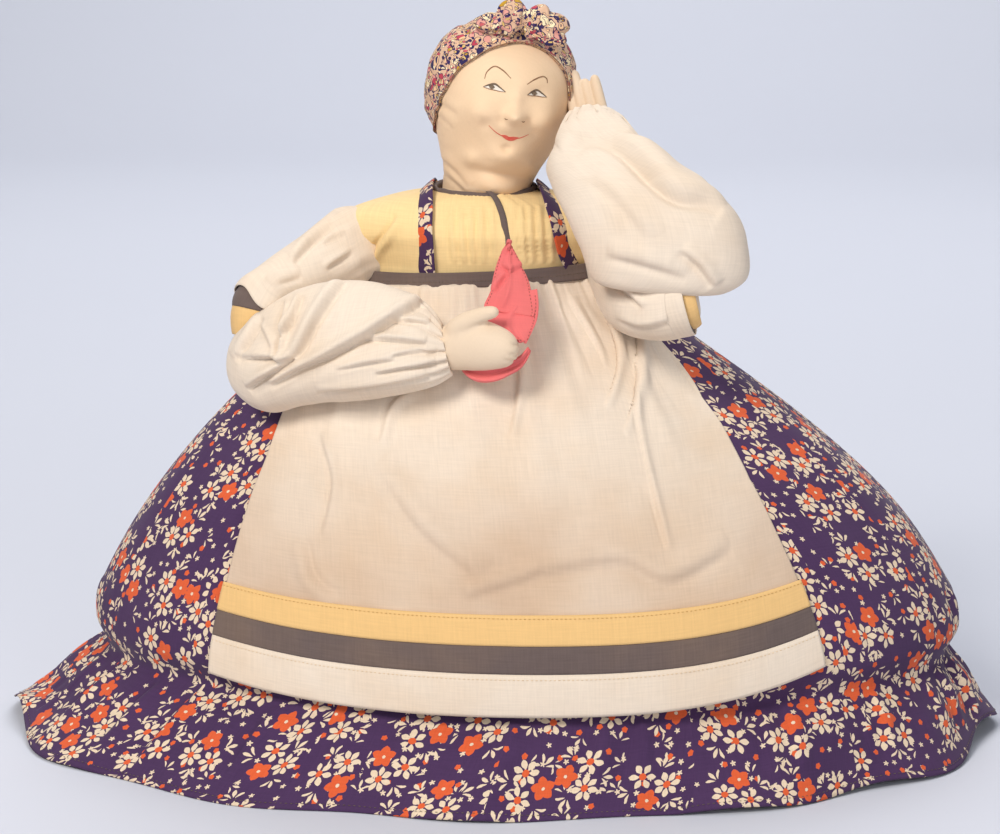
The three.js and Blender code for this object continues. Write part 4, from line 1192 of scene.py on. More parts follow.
HEAD_ROWS = (
    # up, half width to its right and left, depth in front and behind
    (-14, 16.0, 16.0, 16.0, 16.0), (-8, 21.0, 21.0, 21.0, 21.0), (0, 22.5, 21.5, 22.0, 22.0),
    (9, 24.0, 22.5, 25.0, 22.5), (18, 27.5, 25.0, 31.0, 23.0), (27, 31.0, 28.5, 35.5, 24.0),
    (36, 33.8, 31.5, 38.0, 26.0), (46, 35.6, 33.5, 39.0, 29.0), (57, 36.0, 34.0, 38.0, 30.5),
    (67, 34.5, 33.0, 34.5, 30.0), (75, 30.5, 29.5, 29.0, 27.0), (82, 22.5, 22.0, 20.5, 20.5),
    (86, 12.0, 12.0, 11.0, 11.0), (87, 0.0, 0.0, 0.0, 0.0),
)


def head_place(u, v):
    """The stuffed head and neck, in one skin."""
    up, right, left, front, back = through(HEAD_ROWS, v)
    angle = TURN * u - math.pi
    side = math.sin(angle)
    x = (left if side > 0 else right) * side
    y = -(front if math.cos(angle) > 0 else back) * math.cos(angle)
    if v in (0.0, 1.0):
        x = y = 0.0
    y -= 3.0 * ease(up, 20, 46)
    facing = ease(math.cos(angle), 0.0, 0.35)
    out = sum(a * bell(x, at, w) * bell(up, high, h) for at, high, a, w, h in FACE_BUMPS) * facing
    out += 0.5 * rough(x / 14, y / 14, up / 14) * ease(up, -8, 6)
    crease = 0.55 * rough(x / 9, y / 9, up / 3.4) * bell(up, 34, 12) * ease(-side, 0.5, 0.95)
    return in_head(x * (1 + 0.010 * out) + crease * side, y - out - 0.2 * crease, up)


# Creases of the head's right side: depth, width and the line of the valley as (x, z)
CHEEK_CREASES = (
    (0.6, 4.2, ((-37, 333), (-28, 331), (-20, 327))),
    (0.5, 3.8, ((-37, 327), (-29, 324), (-22, 319))),
    (0.8, 4.4, ((-31, 302), (-23, 297), (-15, 289))),
    (0.7, 4.0, ((-30, 295), (-22, 290), (-14, 283))),
)
# The painted face in the head's own frame, its points as (across, up)
# Brows: points and widths of the stroke
BROWS = {
    "right": (
        ((-10.9, 61.6), (-10.4, 65.4), (-7.2, 68.8), (-2.6, 67.6), (2.0, 64.6)),
        (0.35, 0.55, 0.65, 0.7, 0.35)),
    "left": (
        ((10.6, 63.4), (13.8, 66.6), (17.4, 68.9), (19.6, 68.3), (20.4, 66.2)),
        (0.35, 0.7, 0.65, 0.55, 0.35)),
}
# Eyes: upper edge, lower edge and the middle of the iris
EYES = {
    "right": (
        ((-10.8, 57.5), (-8.0, 59.2), (-5.2, 60.2), (-2.4, 59.0), (0.8, 57.4)),
        ((-10.8, 57.5), (-7.6, 57.1), (-4.9, 57.1), (-2.1, 57.0), (0.8, 57.4)), (-6.5, 58.3)),
    "left": (
        ((11.8, 58.2), (13.7, 60.3), (16.0, 61.7), (18.7, 60.7), (21.6, 59.2)),
        ((11.8, 58.2), (14.1, 58.3), (16.3, 58.7), (18.9, 58.8), (21.6, 59.2)), (15.0, 59.7)),
}
NOSTRILS = {
    "right": ((3.1, 44.4), (3.9, 44.0), (4.8, 44.2)),
    "left": ((11.8, 44.8), (12.6, 44.5), (13.4, 45.0)),
}
SMILE = ((-4.0, 39.2), (0.2, 36.6), (4.6, 35.3), (9.3, 35.3), (13.0, 36.5), (16.6, 39.0))
UPPER_LIP = ((2.9, 35.7), (5.2, 36.2), (7.4, 35.7), (9.6, 36.3), (12.4, 36.4))
LOWER_LIP = ((2.9, 35.7), (5.4, 34.3), (7.8, 33.8), (10.0, 34.5), (12.4, 36.4))


def upper_half(x, z, wide, tall):
    """The upper half of an oval, from its right to its left."""
    angles = [math.pi * (1 - k / 6) for k in range(7)]
    return [(x + wide * math.cos(angle), z + tall * math.sin(angle)) for angle in angles]


class DOLL_OT_head(bpy.types.Operator):
    """Stuffed head with its painted face"""

    bl_idname = "doll.head"
    bl_label = "Head and face"

    def execute(self, context):
        make_materials()
        head = form_cloth("stuffed_head", "skin_calico", 220, 170, head_place)
        crease(head, CHEEK_CREASES, toward=Vector((-0.5, -0.85, 0.1)))
        pad(head, ["head"], "skin_cloth", "head")
        skin = surface_of(head)

        def on_face(x, z, out):
            """The place on the face in front of (x, z), a little proud."""
            target = in_head(x, -36, z)
            way = (target - CAMERA_AT).normalized()
            hit, normal, _, _ = skin.ray_cast(target - way * 80, way)
            return hit + normal * out

        def paint(name, material, columns, rows, place):
            piece = form_cloth(name, material, columns, rows, place, away=FRONT)
            thicken(piece, 0.0003)
            dress(piece, [], "skin_cloth", body="head")

        def stroke(name, material, points, widths, out=0.10, rows=40):
            """A brush stroke through points, with its widths along them."""

            def place(u, v):
                x, z = through(points, v)
                x2, z2 = through(points, v + 0.02)
                x1, z1 = through(points, v - 0.02)
                length = math.hypot(x2 - x1, z2 - z1) or 1
                width = through([(w,) for w in widths], v)[0]
                aside = (u - 0.5) * width
                crown = 0.06 * (1 - (2 * u - 1) ** 2)
                return on_face(x - (z2 - z1) / length * aside, z + (x2 - x1) / length * aside, out + crown)

            paint(name, material, 4, rows, place)

        def patch(name, material, upper, lower, out):
            """A painted spot between two edges that meet at their ends."""

            def place(u, v):
                a, b = through(upper, v), through(lower, v)
                return on_face(lerp(a[0], b[0], u), lerp(a[1], b[1], u), out)

            paint(name, material, 10, 28, place)

        for side, (points, widths) in BROWS.items():
            stroke(f"brow_{side}", "brown_ink", points, widths)
        for side, (upper, lower, (x, z)) in EYES.items():
            patch(f"eye_white_{side}", "white_paint", upper, lower, out=0.06)
            iris = upper_half(x, z, wide=1.4, tall=1.25)
            patch(f"iris_{side}", "iris_paint", iris, [(a, 2 * z - b + 0.3) for a, b in iris], out=0.13)
            pupil = upper_half(x, z, wide=0.75, tall=0.75)
            patch(f"pupil_{side}", "lash_ink", pupil, [(a, 2 * z - b) for a, b in pupil], out=0.2)
            stroke(f"upper_lash_{side}", "lash_ink", upper, (0.25, 0.85, 1.0, 0.75, 0.3), out=0.22)
            stroke(f"lower_lash_{side}", "brown_ink", lower, (0.2, 0.45, 0.45, 0.4, 0.2), out=0.2)
        for side, points in NOSTRILS.items():
            stroke(f"nostril_{side}", "brown_ink", points, (0.2, 0.55, 0.2), rows=10)
        stroke("smile_line", "lip_paint", SMILE, (0.25, 0.4, 0.5, 0.5, 0.4, 0.25))
        patch("lips", "lip_paint", UPPER_LIP, LOWER_LIP, out=0.14)
        return {"FINISHED"}


# The scarf's hem in the head's own frame, from the nape past the temple and over the brow: across, back, up
SCARF_HEM = (
    (-26, 14, 25), (-34, -4, 28), (-31.5, -15, 33), (-28.6, -23, 44.6), (-25.5, -27, 54.6),
    (-17.9, -31, 68.1), (-6.8, -28, 76.7), (2.6, -24, 81.3), (15.7, -22, 80.5), (25.1, -21, 73.2),
    (30.5, -17, 58.8), (33, -10, 42), (26, 12, 27),
)
# Loops of the knot: start, way, length, half width, half thickness, ridges and their turn
KNOT_LOOPS = (
    ((8, -23, 94.5), (-1.0, -0.06, -0.25), 33, 6.6, 7.5, 5, 0.4),
    ((-5.0, -26, 84.0), (0.05, -0.05, 1.0), 20, 7.0, 9.5, 7, 0.9),
    ((5.0, -26, 85.0), (0.35, -0.05, 1.0), 20, 7.0, 8.5, 6, 2.0),
    ((2, -24, 94.0), (1.0, -0.08, 0.04), 24, 7.4, 8.4, 6, 2.4),
    ((4, -25, 90.5), (0.98, -0.12, -0.12), 22, 5.4, 6.6, 5, 0.0),
)


def knot_loop(start, way, length, wide, thick, ridges, turn):
    """place(u, v) of a puffed loop of scarf, drawn in at the knot, with folds running out of it."""
    along = Vector(way).normalized()
    up = Vector((0, -0.35, 1)).normalized()
    across = along.cross(up).normalized()
    up = across.cross(along).normalized()

    def place(u, v):
        angle = TURN * u
        swell = math.sin(math.pi * clamp(v, 0, 1)) ** 0.62 * (0.55 + 0.45 * v)
        ridge = 1 + 0.17 * math.cos(ridges * angle + turn + 1.8 * v) * (1 - 0.45 * v)
        p = Vector(start) + along * (length * v)
        p += (across * (thick * swell * ridge * math.sin(angle))
              + up * (wide * swell * ridge * math.cos(angle)))
        p += up * (1.2 * rough(p.x / 6, p.y / 6, p.z / 6))
        return in_head(*p)

    return place


class DOLL_OT_scarf(bpy.types.Operator):
    """Printed head scarf and its knot on the brow"""

    bl_idname = "doll.scarf"
    bl_label = "Scarf"

    def execute(self, context):
        make_materials()
        skin = surface_of(bpy.data.objects["stuffed_head"])
        slope = math.radians(72)
        pole = Vector((0, math.sin(slope), math.cos(slope)))
        ahead = Vector((0, -math.cos(slope), math.sin(slope)))
        side = Vector((1, 0, 0))
        centre = Vector((0, -11, 50))
        turns = []
        for point in SCARF_HEM:
            way = (Vector(point) - centre).normalized()
            around = math.atan2(way.dot(side), way.dot(ahead))
            turns.append((around, math.acos(clamp(way.dot(pole), -1, 1))))
        turns.sort()
        turns = [(turns[-1][0] - TURN, turns[-1][1]), *turns, (turns[0][0] + TURN, turns[0][1])]

        def hem_tilt(around):
            """How far the hem lies from the pole, on one side of it."""
            around = math.atan2(math.sin(around), math.cos(around))
            for (a, low), (b, high) in zip(turns, turns[1:]):
                if a <= around <= b:
                    return lerp(low, high, ease(around, a, b) if b - a > 1e-6 else 0)
            return turns[0][1]

        def wrap_place(u, v):
            around = TURN * u
            tilt = sum(hem_tilt(around + d) for d in (-0.12, -0.06, 0, 0.06, 0.12)) / 5 * (1 - v)
            flat = ahead * math.cos(around) + side * math.sin(around)
            way = flat * math.sin(tilt) + pole * math.cos(tilt)
            start = in_head(*centre)
            direction = (in_head(*(centre + way)) - start).normalized()
            hit, _, _, _ = skin.ray_cast(start, direction)
            puff = 5.0 * max(ease(-way.x, 0.25, 0.8), ease(way.z, 0.5, 0.9)) * ease(v, 0.02, 0.28)
            lines = 1 - abs(rough(around * 1.7, v * 0.9, 0.6))
            fold = 1.1 * (lines**3 - 0.4) + 0.6 * rough(way.x * 6, way.y * 6, way.z * 6)
            roll = 0.5 * bell(v, 0.015, 0.02)
            return hit + direction * (1.3 + puff + fold * ease(v, 0.02, 0.2) + roll)

        wrap = form_cloth("scarf_cloth", "scarf_cotton", 200, 80, wrap_place)

        # The scarf's rolled hem, drawn in dark brown ink: partly the hem, partly painted shade where the
        # scarf's edge meets the face
        def edge_place(u, v):
            p, q = wrap_place(u, 0.0), wrap_place(u + 0.004, 0.0)
            out = (p - in_head(*centre)).normalized()
            aside = (q - p).cross(out).normalized()
            return p + out * (0.1 + 0.3 * math.cos(TURN * v)) + aside * (0.32 * math.sin(TURN * v))

        edge = form_cloth("scarf_hem_and_shade_line", "brown_ink", 200, 8, edge_place)
        dress(edge, [], "scarf_print", body="head")
        sew(wrap, ["scarf_wrap"], "scarf_print", "stuffed_head",
            thickness=0.0010, flat=(0.2, 0.15), held="stretched", body="head")
        loops = [(64, 40, knot_loop(*row)) for row in KNOT_LOOPS]
        knot = fuse("scarf_knot_cloth", "scarf_cotton", loops, cell=0.0007, passes=1)
        pad(knot, ["scarf_knot"], "scarf_print", "head")
        return {"FINISHED"}


# Sleeves as flat bags: rows of one edge, the other edge and the half thickness, from the body outwards
RIGHT_UPPER = (
    (-72, 6, 274, -56, -12, 240, 15), (-85, -3, 274, -69, -19, 238, 18), (-98, -14, 265, -79, -27, 233, 19),
    (-109, -25, 258, -89, -37, 230, 19), (-119, -34, 251, -97, -44, 228, 18),
    (-127, -42, 243, -103, -50, 228, 17), (-131, -46, 236, -105, -54, 227, 16.5),
    (-132.5, -48, 229, -106, -56, 225, 16), (-132.5, -50, 217, -106, -57, 216, 15),
)
RIGHT_LOWER = (
    (-127, -50, 217, -130, -50, 199, 12), (-124, -51, 221, -127, -54, 187, 17),
    (-116, -54, 229, -121, -60, 181, 20), (-108, -58, 235, -112, -66, 179, 22),
    (-96, -62, 242, -101, -72, 183, 23), (-81, -66, 246, -86, -78, 187, 23),
    (-64, -70, 247, -70, -84, 189, 22), (-47, -74, 244, -52, -88, 192, 20),
    (-35, -78, 239, -38, -90, 195, 17), (-28, -81, 233, -27, -90, 199, 13.5),
    (-24, -83, 227, -19, -89, 204, 11.5),
)
LEFT_LOWER = (
    (54, -72, 247, 113, -80, 243, 12), (48, -75, 252, 125.5, -80, 250.5, 16),
    (43, -74, 265, 127, -78, 263, 20), (36, -68, 280, 122, -76, 280, 22), (30, -60, 291, 109, -70, 292, 21),
    (26, -53, 302, 92, -62, 303, 18), (29, -47, 309, 77, -54, 310, 15), (32, -40, 316, 68, -46, 317, 12),
    (34, -35, 320, 63, -39, 321.5, 10.5), (36, -31, 324, 58, -32, 325, 9),
)
# The left upper sleeve is round: rows of its middle, half height and half thickness
LEFT_UPPER = (
    (42, 10, 263, 17, 16), (60, -6, 262, 20.5, 19), (67, -32, 249, 22, 20), (74, -55, 240, 21.5, 20),
    (85, -68, 238, 19, 18.5), (93, -72, 238.5, 16, 16.5), (97, -73, 239.5, 14.5, 15),
    (101, -73, 240.5, 13, 13),
)
# Its end is closed by the cloth that goes on into the bag
LEFT_ELBOW = (
    (94, -73, 238.9, 14.5, 15), (97, -73, 239.6, 13.6, 14.2), (100, -73, 240.3, 12.8, 13),
    (102.4, -73, 240.9, 12, 12),
)
LEFT_TALL = Vector((0, 0.1, 1))
# Shares of the upper sleeve at which its grey band begins, its yellow band begins and that ends
SLEEVE_BANDS = {"right": (0.74, 0.86, 1.0), "left": (0.71, 0.83, 1.0)}
# Folds of the sleeves: depth, width and the line of the valley as (x, z)
FOLDS = {
    "upper_right": (
        (2.6, 4.0, ((-102, 253), (-94, 262), (-84, 270))), (1.6, 2.4, ((-88, 262), (-83, 264), (-78, 265))),
        (1.8, 3.0, ((-86, 249), (-81, 252), (-74, 256))), (1.5, 4.0, ((-115, 247), (-108, 244), (-98, 246))),
    ),
    "lower_right": (
        (4.0, 4.4, ((-98, 210), (-93, 216), (-86, 229), (-79, 240), (-70, 251))),
        (5.0, 4.4, ((-110, 195), (-96, 204), (-82, 211), (-66, 220), (-54, 227), (-43, 234), (-30, 240))),
        (4.0, 3.6, ((-122, 193), (-114, 199), (-105, 205), (-97, 211))),
        (3.0, 2.8, ((-64, 222), (-49, 222), (-31, 220))),
        (3.0, 2.4, ((-104, 238), (-105, 223), (-107, 209))),
        (3.4, 2.4, ((-104, 221), (-99, 228), (-94, 241))),
        (2.6, 3.4, ((-129, 207), (-122, 217), (-115, 229))),
        (3.4, 2.8, ((-128, 208), (-111, 210), (-106, 209), (-97, 211))),
        (2.2, 4.0, ((-86, 193), (-60, 197), (-30, 203))), (2.2, 2.6, ((-56, 205), (-42, 208), (-26, 211))),
        (1.6, 3.0, ((-76, 206), (-60, 210), (-46, 212))), (2.0, 2.4, ((-50, 232), (-40, 231), (-30, 229))),
        (1.8, 2.2, ((-48, 214), (-38, 216), (-26, 216))), (1.4, 2.6, ((-118, 226), (-112, 219), (-109, 210))),
    ),
    "upper_left": (
        (2.8, 3.4, ((50, 254), (60, 246), (67, 242), (74, 236))),
        (2.0, 4.0, ((62, 228), (74, 226), (88, 230))),
    ),
    "lower_left": (
        (5.6, 9.0, (
            (37, 309), (45, 317), (55, 317.5), (65, 312), (75, 303), (84, 295), (94, 290.5), (105, 289),
            (113, 285))),
        (2.6, 5.0, ((92, 266), (101, 258), (108, 248))), (1.8, 7.0, ((56, 262), (74, 258), (96, 252))),
        (1.4, 9.0, ((48, 298), (62, 288), (76, 270))),
    ),
}


def make_arm(name, tube, rows):
    """A stuffed arm, its upper sleeve, the bands at the elbow and the lower sleeve.

    tube is the place(u, v) of the upper sleeve, and rows are those of the lower sleeve's bag."""
    right = name == "right"
    depth = sizes().sleeve_fold / MM
    seed = 2.0 if right else 6.0
    pucker = 3.4 if right else 2.6
    bands = SLEEVE_BANDS[name]
    cuff = bands[0]
    shoulder, elbow = SHOULDER[name], ELBOW[name]
    bag = soft_bag(rows, 0.09 if right else 0.12)
    upper_arm, forearm = f"upper_arm_{name}", f"forearm_{name}"

    half_thick = 7.2
    upper_shares, lower_shares = (0.25, 0.4, 0.55, 0.72), (0.22, 0.5, 0.8, 1.0)
    for body, sleeve, shares in ((upper_arm, tube, upper_shares), (forearm, bag, lower_shares)):
        stations = [(*middle_line(sleeve, share), half_thick, half_thick) for share in shares]
        limb = stuffed_limb(stations, Vector((0.1, 0.6, 0.8)), start=0.12, end=0.12)
        arm = form_cloth(f"stuffed_{body}", "skin_calico", 28, 24, limb)
        plump(arm, cell=0.003, reach=0.0015)
        pad(arm, [body], "skin_cloth", body)

    def on_upper(u, share, out):
        """A place on the upper sleeve, and further out."""
        p = tube(u, share)
        return p + (p - middle_line(tube, share)).normalized() * out

    def upper_place(u, v):
        seam = 0.2
        pleat = 2.2 * (0.5 + 0.5 * rough(u * 26, v * 1.5, seed)) * math.exp(-abs(v - seam) / 0.09)
        drag = depth * 0.5 * rough(u * 4 + v * 2, v * 2.2, seed) * math.sin(math.pi * v)
        sag = 2.5 * bell(v, 0.97, 0.13) if right else 3.0 * ease(v, 0.4, 0.95)
        inner = ease(tube(u, cuff).x - tube(0.0, cuff).x, 2, 20) if right else 1.5
        return on_upper(u, v * (cuff * 1.02 + 0.09 * inner), pleat + drag + sag)

    upper = form_cloth(f"upper_sleeve_cloth_{name}", "cream_plain_weave", 120, 80, upper_place)
    crease(upper, FOLDS[f"upper_{name}"])
    way = (elbow - shoulder).normalized()
    sew(upper, [f"upper_sleeve_{name}"], "cream_cotton", f"stuffed_{upper_arm}",
        thickness=sizes().cloth, flat=(0.14, 0.09), held="gathered",
        joint=("body", upper_arm, shoulder - way * 6, shoulder + way * 24))

    for band, proud, start, end in zip(("grey", "yellow"), (0.5, 0.3), bands, bands[1:]):
        def ring_place(u, v):
            return on_upper(u, lerp(start, end, v), 0.6 * math.sin(math.pi * v) + proud)

        ring = form_cloth(f"sleeve_{band}_cuff_{name}", f"{band}_plain_weave", 96, 14, ring_place)
        sew(ring, [f"sleeve_{band}_band_{name}"], f"{band}_cotton", f"stuffed_{upper_arm}",
            thickness=0.001, flat=(0.1, 0.0115), held="stretched", body=upper_arm)

    def lower_place(u, v):
        p = bag(u, v)
        out = p - (bag(0, v) + bag(0.5, v)) / 2
        out = out.normalized() if out.length > 1e-6 else Vector()
        near = ease(v, 0.72 + 0.1 * rough(u * 8, seed), 0.98)
        lobes = abs(math.sin(math.pi * 15 * u + 1.2 * rough(u * 6, v * 2, seed))) ** 0.7
        gathers = (pucker * (lobes - 0.7) + 0.8 * rough(u * 40, v * 4, seed)) * near
        full = math.sin(math.pi * clamp(v)) ** 0.5
        drag = rough(math.cos(TURN * u) * 1.3 + v * 1.6, math.sin(TURN * u) * 1.3 - v * 1.6, seed)
        fine = 0.35 * rough(p.x / 9, p.y / 9, p.z / 9)
        return p + out * (gathers + (depth * 0.5 * drag + fine) * full * (1 - near))

    lower = form_cloth(f"lower_sleeve_cloth_{name}", "cream_plain_weave", 240, 170, lower_place)
    crease(lower, FOLDS[f"lower_{name}"])
    wrist = through(rows, 1.0)
    reach = ((Vector(wrist[:3]) + Vector(wrist[3:6])) / 2 - elbow).normalized()
    start = elbow - reach * 14
    sew(lower, [f"lower_sleeve_{name}"], "cream_cotton", f"stuffed_{forearm}",
        thickness=sizes().cloth, flat=(0.17, 0.15), held="gathered",
        joint=(upper_arm, forearm, start, start + reach * 40))


class DOLL_OT_sleeves(bpy.types.Operator):
    """Stuffed arms in full cream sleeves, with grey and yellow bands at the elbow"""

    bl_idname = "doll.sleeves"
    bl_label = "Arms and sleeves"

    def execute(self, context):
        make_materials()
        make_arm("right", soft_bag(RIGHT_UPPER), RIGHT_LOWER)
        make_arm("left", stuffed_limb(LEFT_UPPER, LEFT_TALL), LEFT_LOWER)
        elbow = stuffed_limb(LEFT_ELBOW, LEFT_TALL, end=0.6)
        tuck = form_cloth("sleeve_elbow_left", "cream_plain_weave", 60, 30, elbow)
        sew(tuck, [], "cream_cotton", "stuffed_upper_arm_left",
            thickness=sizes().cloth, flat=(0.06, 0.03), held="stretched", body="upper_arm_left")
        return {"FINISHED"}


# Limbs of the hands: rows of x, y, z, half width and half thickness
RIGHT_PALM = (
    (-30, -85, 216, 8, 7), (-22, -87, 216.5, 11, 9), (-10, -91.5, 219, 13, 9.5), (0, -94.5, 218.5, 12, 9.5),
    (9, -96, 217, 9, 8.5), (14.5, -96, 216, 6.5, 7),
)
RIGHT_THUMB = (
    (-20, -90, 224, 5.5, 5.5), (-13, -95.5, 230.5, 4.8, 4.8), (-3, -98.5, 235.4, 3.8, 3.8),
    (5.0, -99.5, 237.2, 3.2, 3.2),
)
LEFT_PALM = (
    (46, -30, 320, 7, 7), (45.5, -26, 323, 9, 6.5), (45, -22, 326, 8.5, 5), (44.5, -19, 329, 5, 3.5),
)
# Fingers of the left hand: root and tip
LEFT_FINGERS = (
    ((39.5, -17, 327), (35.6, -11, 341)),
    ((43.5, -18.5, 327), (38.6, -11.5, 347.6)),
    ((48.5, -20, 328), (43.9, -13.8, 343.6)),
    ((53.5, -21.5, 328), (48.9, -15, 345.6)),
)
# Half thickness of a finger at shares of its length
FINGER = ((-0.2, 3.0), (0.3, 2.9), (0.7, 2.7), (0.92, 2.4), (1.05, 1.5))
# Sewn lines that mark the mitten's fingers: height and where each begins across
MITTEN_SEAMS = ((221.3, 9.5), (216.2, 8.0), (212.4, 6.0))


class DOLL_OT_hands(bpy.types.Operator):
    """Stuffed hands: a mitten on the belly, and fingers behind the cheek"""

    bl_idname = "doll.hands"
    bl_label = "Hands"

    def execute(self, context):
        make_materials()
        palm = stuffed_limb(RIGHT_PALM, UP, start=0.15, end=0.24)
        thumb = stuffed_limb(RIGHT_THUMB, UP, start=0.2, end=0.22)
        limbs = [(40, 30, palm), (28, 24, thumb)]
        right = fuse("mitten_hand_right", "hand_calico", limbs, cell=0.0009, passes=3)

        def finger_seams(p, normal):
            """Short sewn lines at the end of the mitten mark its fingers."""
            groove = 0.0
            for level, reach in MITTEN_SEAMS:
                line = bell(p.z, level - 0.35 * (p.x - 11), 0.75)
                groove += line * ease(p.x, reach, reach + 4) * ease(-p.y, 91, 97)
            return p - normal * groove

        plump(right, cell=0.0011, reach=0.0010)
        reshape(right, finger_seams)
        pad(right, ["hand_right"], "skin_cloth", "forearm_right")

        palm = stuffed_limb(LEFT_PALM, Vector((0.9, 0.1, 0.4)), start=0.2, end=0.25)
        limbs = [(28, 24, palm)]
        for root, tip in LEFT_FINGERS:
            a, b = Vector(root), Vector(tip)
            stations = [(*a.lerp(b, share), thick, thick) for share, thick in FINGER]
            finger = stuffed_limb(stations, Vector((1, 0.1, 0.1)), start=0.15, end=0.2)
            limbs.append((20, 20, finger))
        left = fuse("fingered_hand_left", "hand_calico", limbs, cell=0.00045, passes=1)
        pad(left, ["hand_left"], "skin_cloth", "forearm_left")
        return {"FINISHED"}


# Flaps of the kerchief: rows from the point down of left edge and right edge, each x, y, z
KERCHIEF_POINT = (
    (7.7, -64, 267, 8.1, -64, 267), (3.4, -67, 260, 12.6, -67, 259), (0.6, -72, 251, 18.0, -73, 248.5),
    (-0.6, -77, 244, 20.0, -79, 242), (-3.5, -82, 237.5, 21.5, -83, 235),
    (-2.0, -85.5, 236.2, 21.0, -86, 232.6),
)
KERCHIEF_FALL = (
    (2.0, -80, 241, 22.5, -78, 245), (0.0, -83, 236, 23.4, -81, 238), (-2.5, -87, 232, 23.0, -85, 231.5),
    (3.0, -93, 227.5, 21.0, -91, 226.5), (14.0, -96, 222, 18.0, -95, 220.5),
)
# Creases of the point: depth, width and the line of the valley as (x, z)
KERCHIEF_CREASES = (
    (1.6, 2.0, ((1, 243), (4, 247), (8, 252))),
    (1.2, 2.2, ((4, 255), (9, 253), (16, 255))),
    (1.0, 1.8, ((5, 260), (8, 263), (10, 265))),
)
# The line along which the rest of the cloth comes out under the palm
KERCHIEF_TAIL = (
    (-14, -91, 206.5), (-8, -95, 204), (0, -98, 204.5), (8, -99, 207.5), (15.5, -98.5, 211.5),
    (19.5, -96, 217),
)


def kerchief_flap(rows, puff, seed):
    """place(u, v) of a puffed flap between the edges of its rows."""

    def place(u, v):
        row = through(rows, v)
        p = Vector(row[:3]).lerp(Vector(row[3:]), u)
        p.y -= puff * math.sin(math.pi * u) * math.sin(math.pi * clamp(v * 1.02))
        p.y -= 0.8 * rough(u * 3, v * 4, seed) + 1.3 * bell(u + 0.35 * v, 0.62, 0.07) * math.sin(math.pi * v)
        return p

    return place


class DOLL_OT_kerchief(bpy.types.Operator):
    """Red kerchief, folded in the right hand"""

    bl_idname = "doll.kerchief"
    bl_label = "Kerchief"

    def execute(self, context):
        make_materials()

        def stitch(name, points, proud):
            line = [(p + Vector((0, -proud, 0)), FRONT_AND_UP) for p in points]
            stitch_row(name, "red_thread", line, "red_cotton", "forearm_right", pitch=1.9, thick=0.24)

        def sew_flap(name, place, flat, nodes, creases, edges):
            """A flap, with stitches down its edges: across, start and end, as shares."""
            cloth = form_cloth(name, "red_plain_weave", 60, 80, place, away=FRONT_AND_UP)
            if creases:
                crease(cloth, creases)
            sew(cloth, nodes, "red_cotton", "mitten_hand_right",
                thickness=0.0012, flat=flat, held="folded", body="forearm_right")
            for k, (u, start, end) in enumerate(edges):
                stitch(f"{name}_stitching_{k}", [place(u, lerp(start, end, i / 60)) for i in range(61)], 0.2)

        point = kerchief_flap(KERCHIEF_POINT, puff=3.0, seed=2.0)
        sew_flap("kerchief_point", point, (0.026, 0.04), ["kerchief"], KERCHIEF_CREASES,
                 ((0.05, 0.02, 0.99), (0.95, 0.02, 0.99)))
        fall = kerchief_flap(KERCHIEF_FALL, puff=1.2, seed=5.0)
        sew_flap("kerchief_fall", fall, (0.026, 0.032), [], None, ((0.94, 0.1, 0.97),))
        stitch("kerchief_hem_stitching", [fall(lerp(0.04, 0.96, i / 40), 0.955) for i in range(41)], 0.3)

        # The rest of the cloth is crumpled under the palm, and comes out in three thin folds
        def tail_place(u, v):
            x, y, z = through(KERCHIEF_TAIL, u)
            fall = (v - 0.5) * 2
            wave = math.sin(2.5 * math.pi * v + 1.2 * u)
            swell = math.sin(math.pi * clamp(0.06 + 0.9 * u)) ** 0.6
            x += 1.2 * fall * (0.5 - u)
            y = y + 5 * (0.35 + 0.65 * abs(fall)) - 2.6 * wave * swell
            z = z + 4.0 * fall * swell + 0.5 * rough(u * 5, v * 5, 1.0)
            return Vector((x, y, z))

        tail = form_cloth("kerchief_tail", "red_plain_weave", 70, 60, tail_place, away=Vector((0, -1, -0.2)))
        sew(tail, [], "red_cotton", "mitten_hand_right",
            thickness=0.001, flat=(0.042, 0.02), held="folded", body="forearm_right")
        return {"FINISHED"}


# Lamps: name, place and aim in metres, power, size and colour
LAMPS = (
    ("key", (-1.1, -2.0, 2.0), (0, 0, 0.15), 66, 0.9, (1.0, 0.97, 0.93)),
    ("fill", (1.2, -2.2, 0.9), (0, 0, 0.2), 23, 1.6, (0.95, 0.97, 1.0)),
    ("top", (0.2, 0.6, 2.6), (0, 0.1, 0.1), 22, 2.0, (0.97, 0.98, 1.0)),
    ("backdrop", (0, 2.6, 3.0), (0, 3.6, 0.2), 85, 3.0, (0.97, 0.98, 1.0)),
)
# The sweep of paper: half its width, where it starts, bends up and ends, and the radius of the bend
SWEEP_HALF = 9000
SWEEP_START = -9000
SWEEP_BEND = 3200
SWEEP_END = 8000
SWEEP_RADIUS = 1500


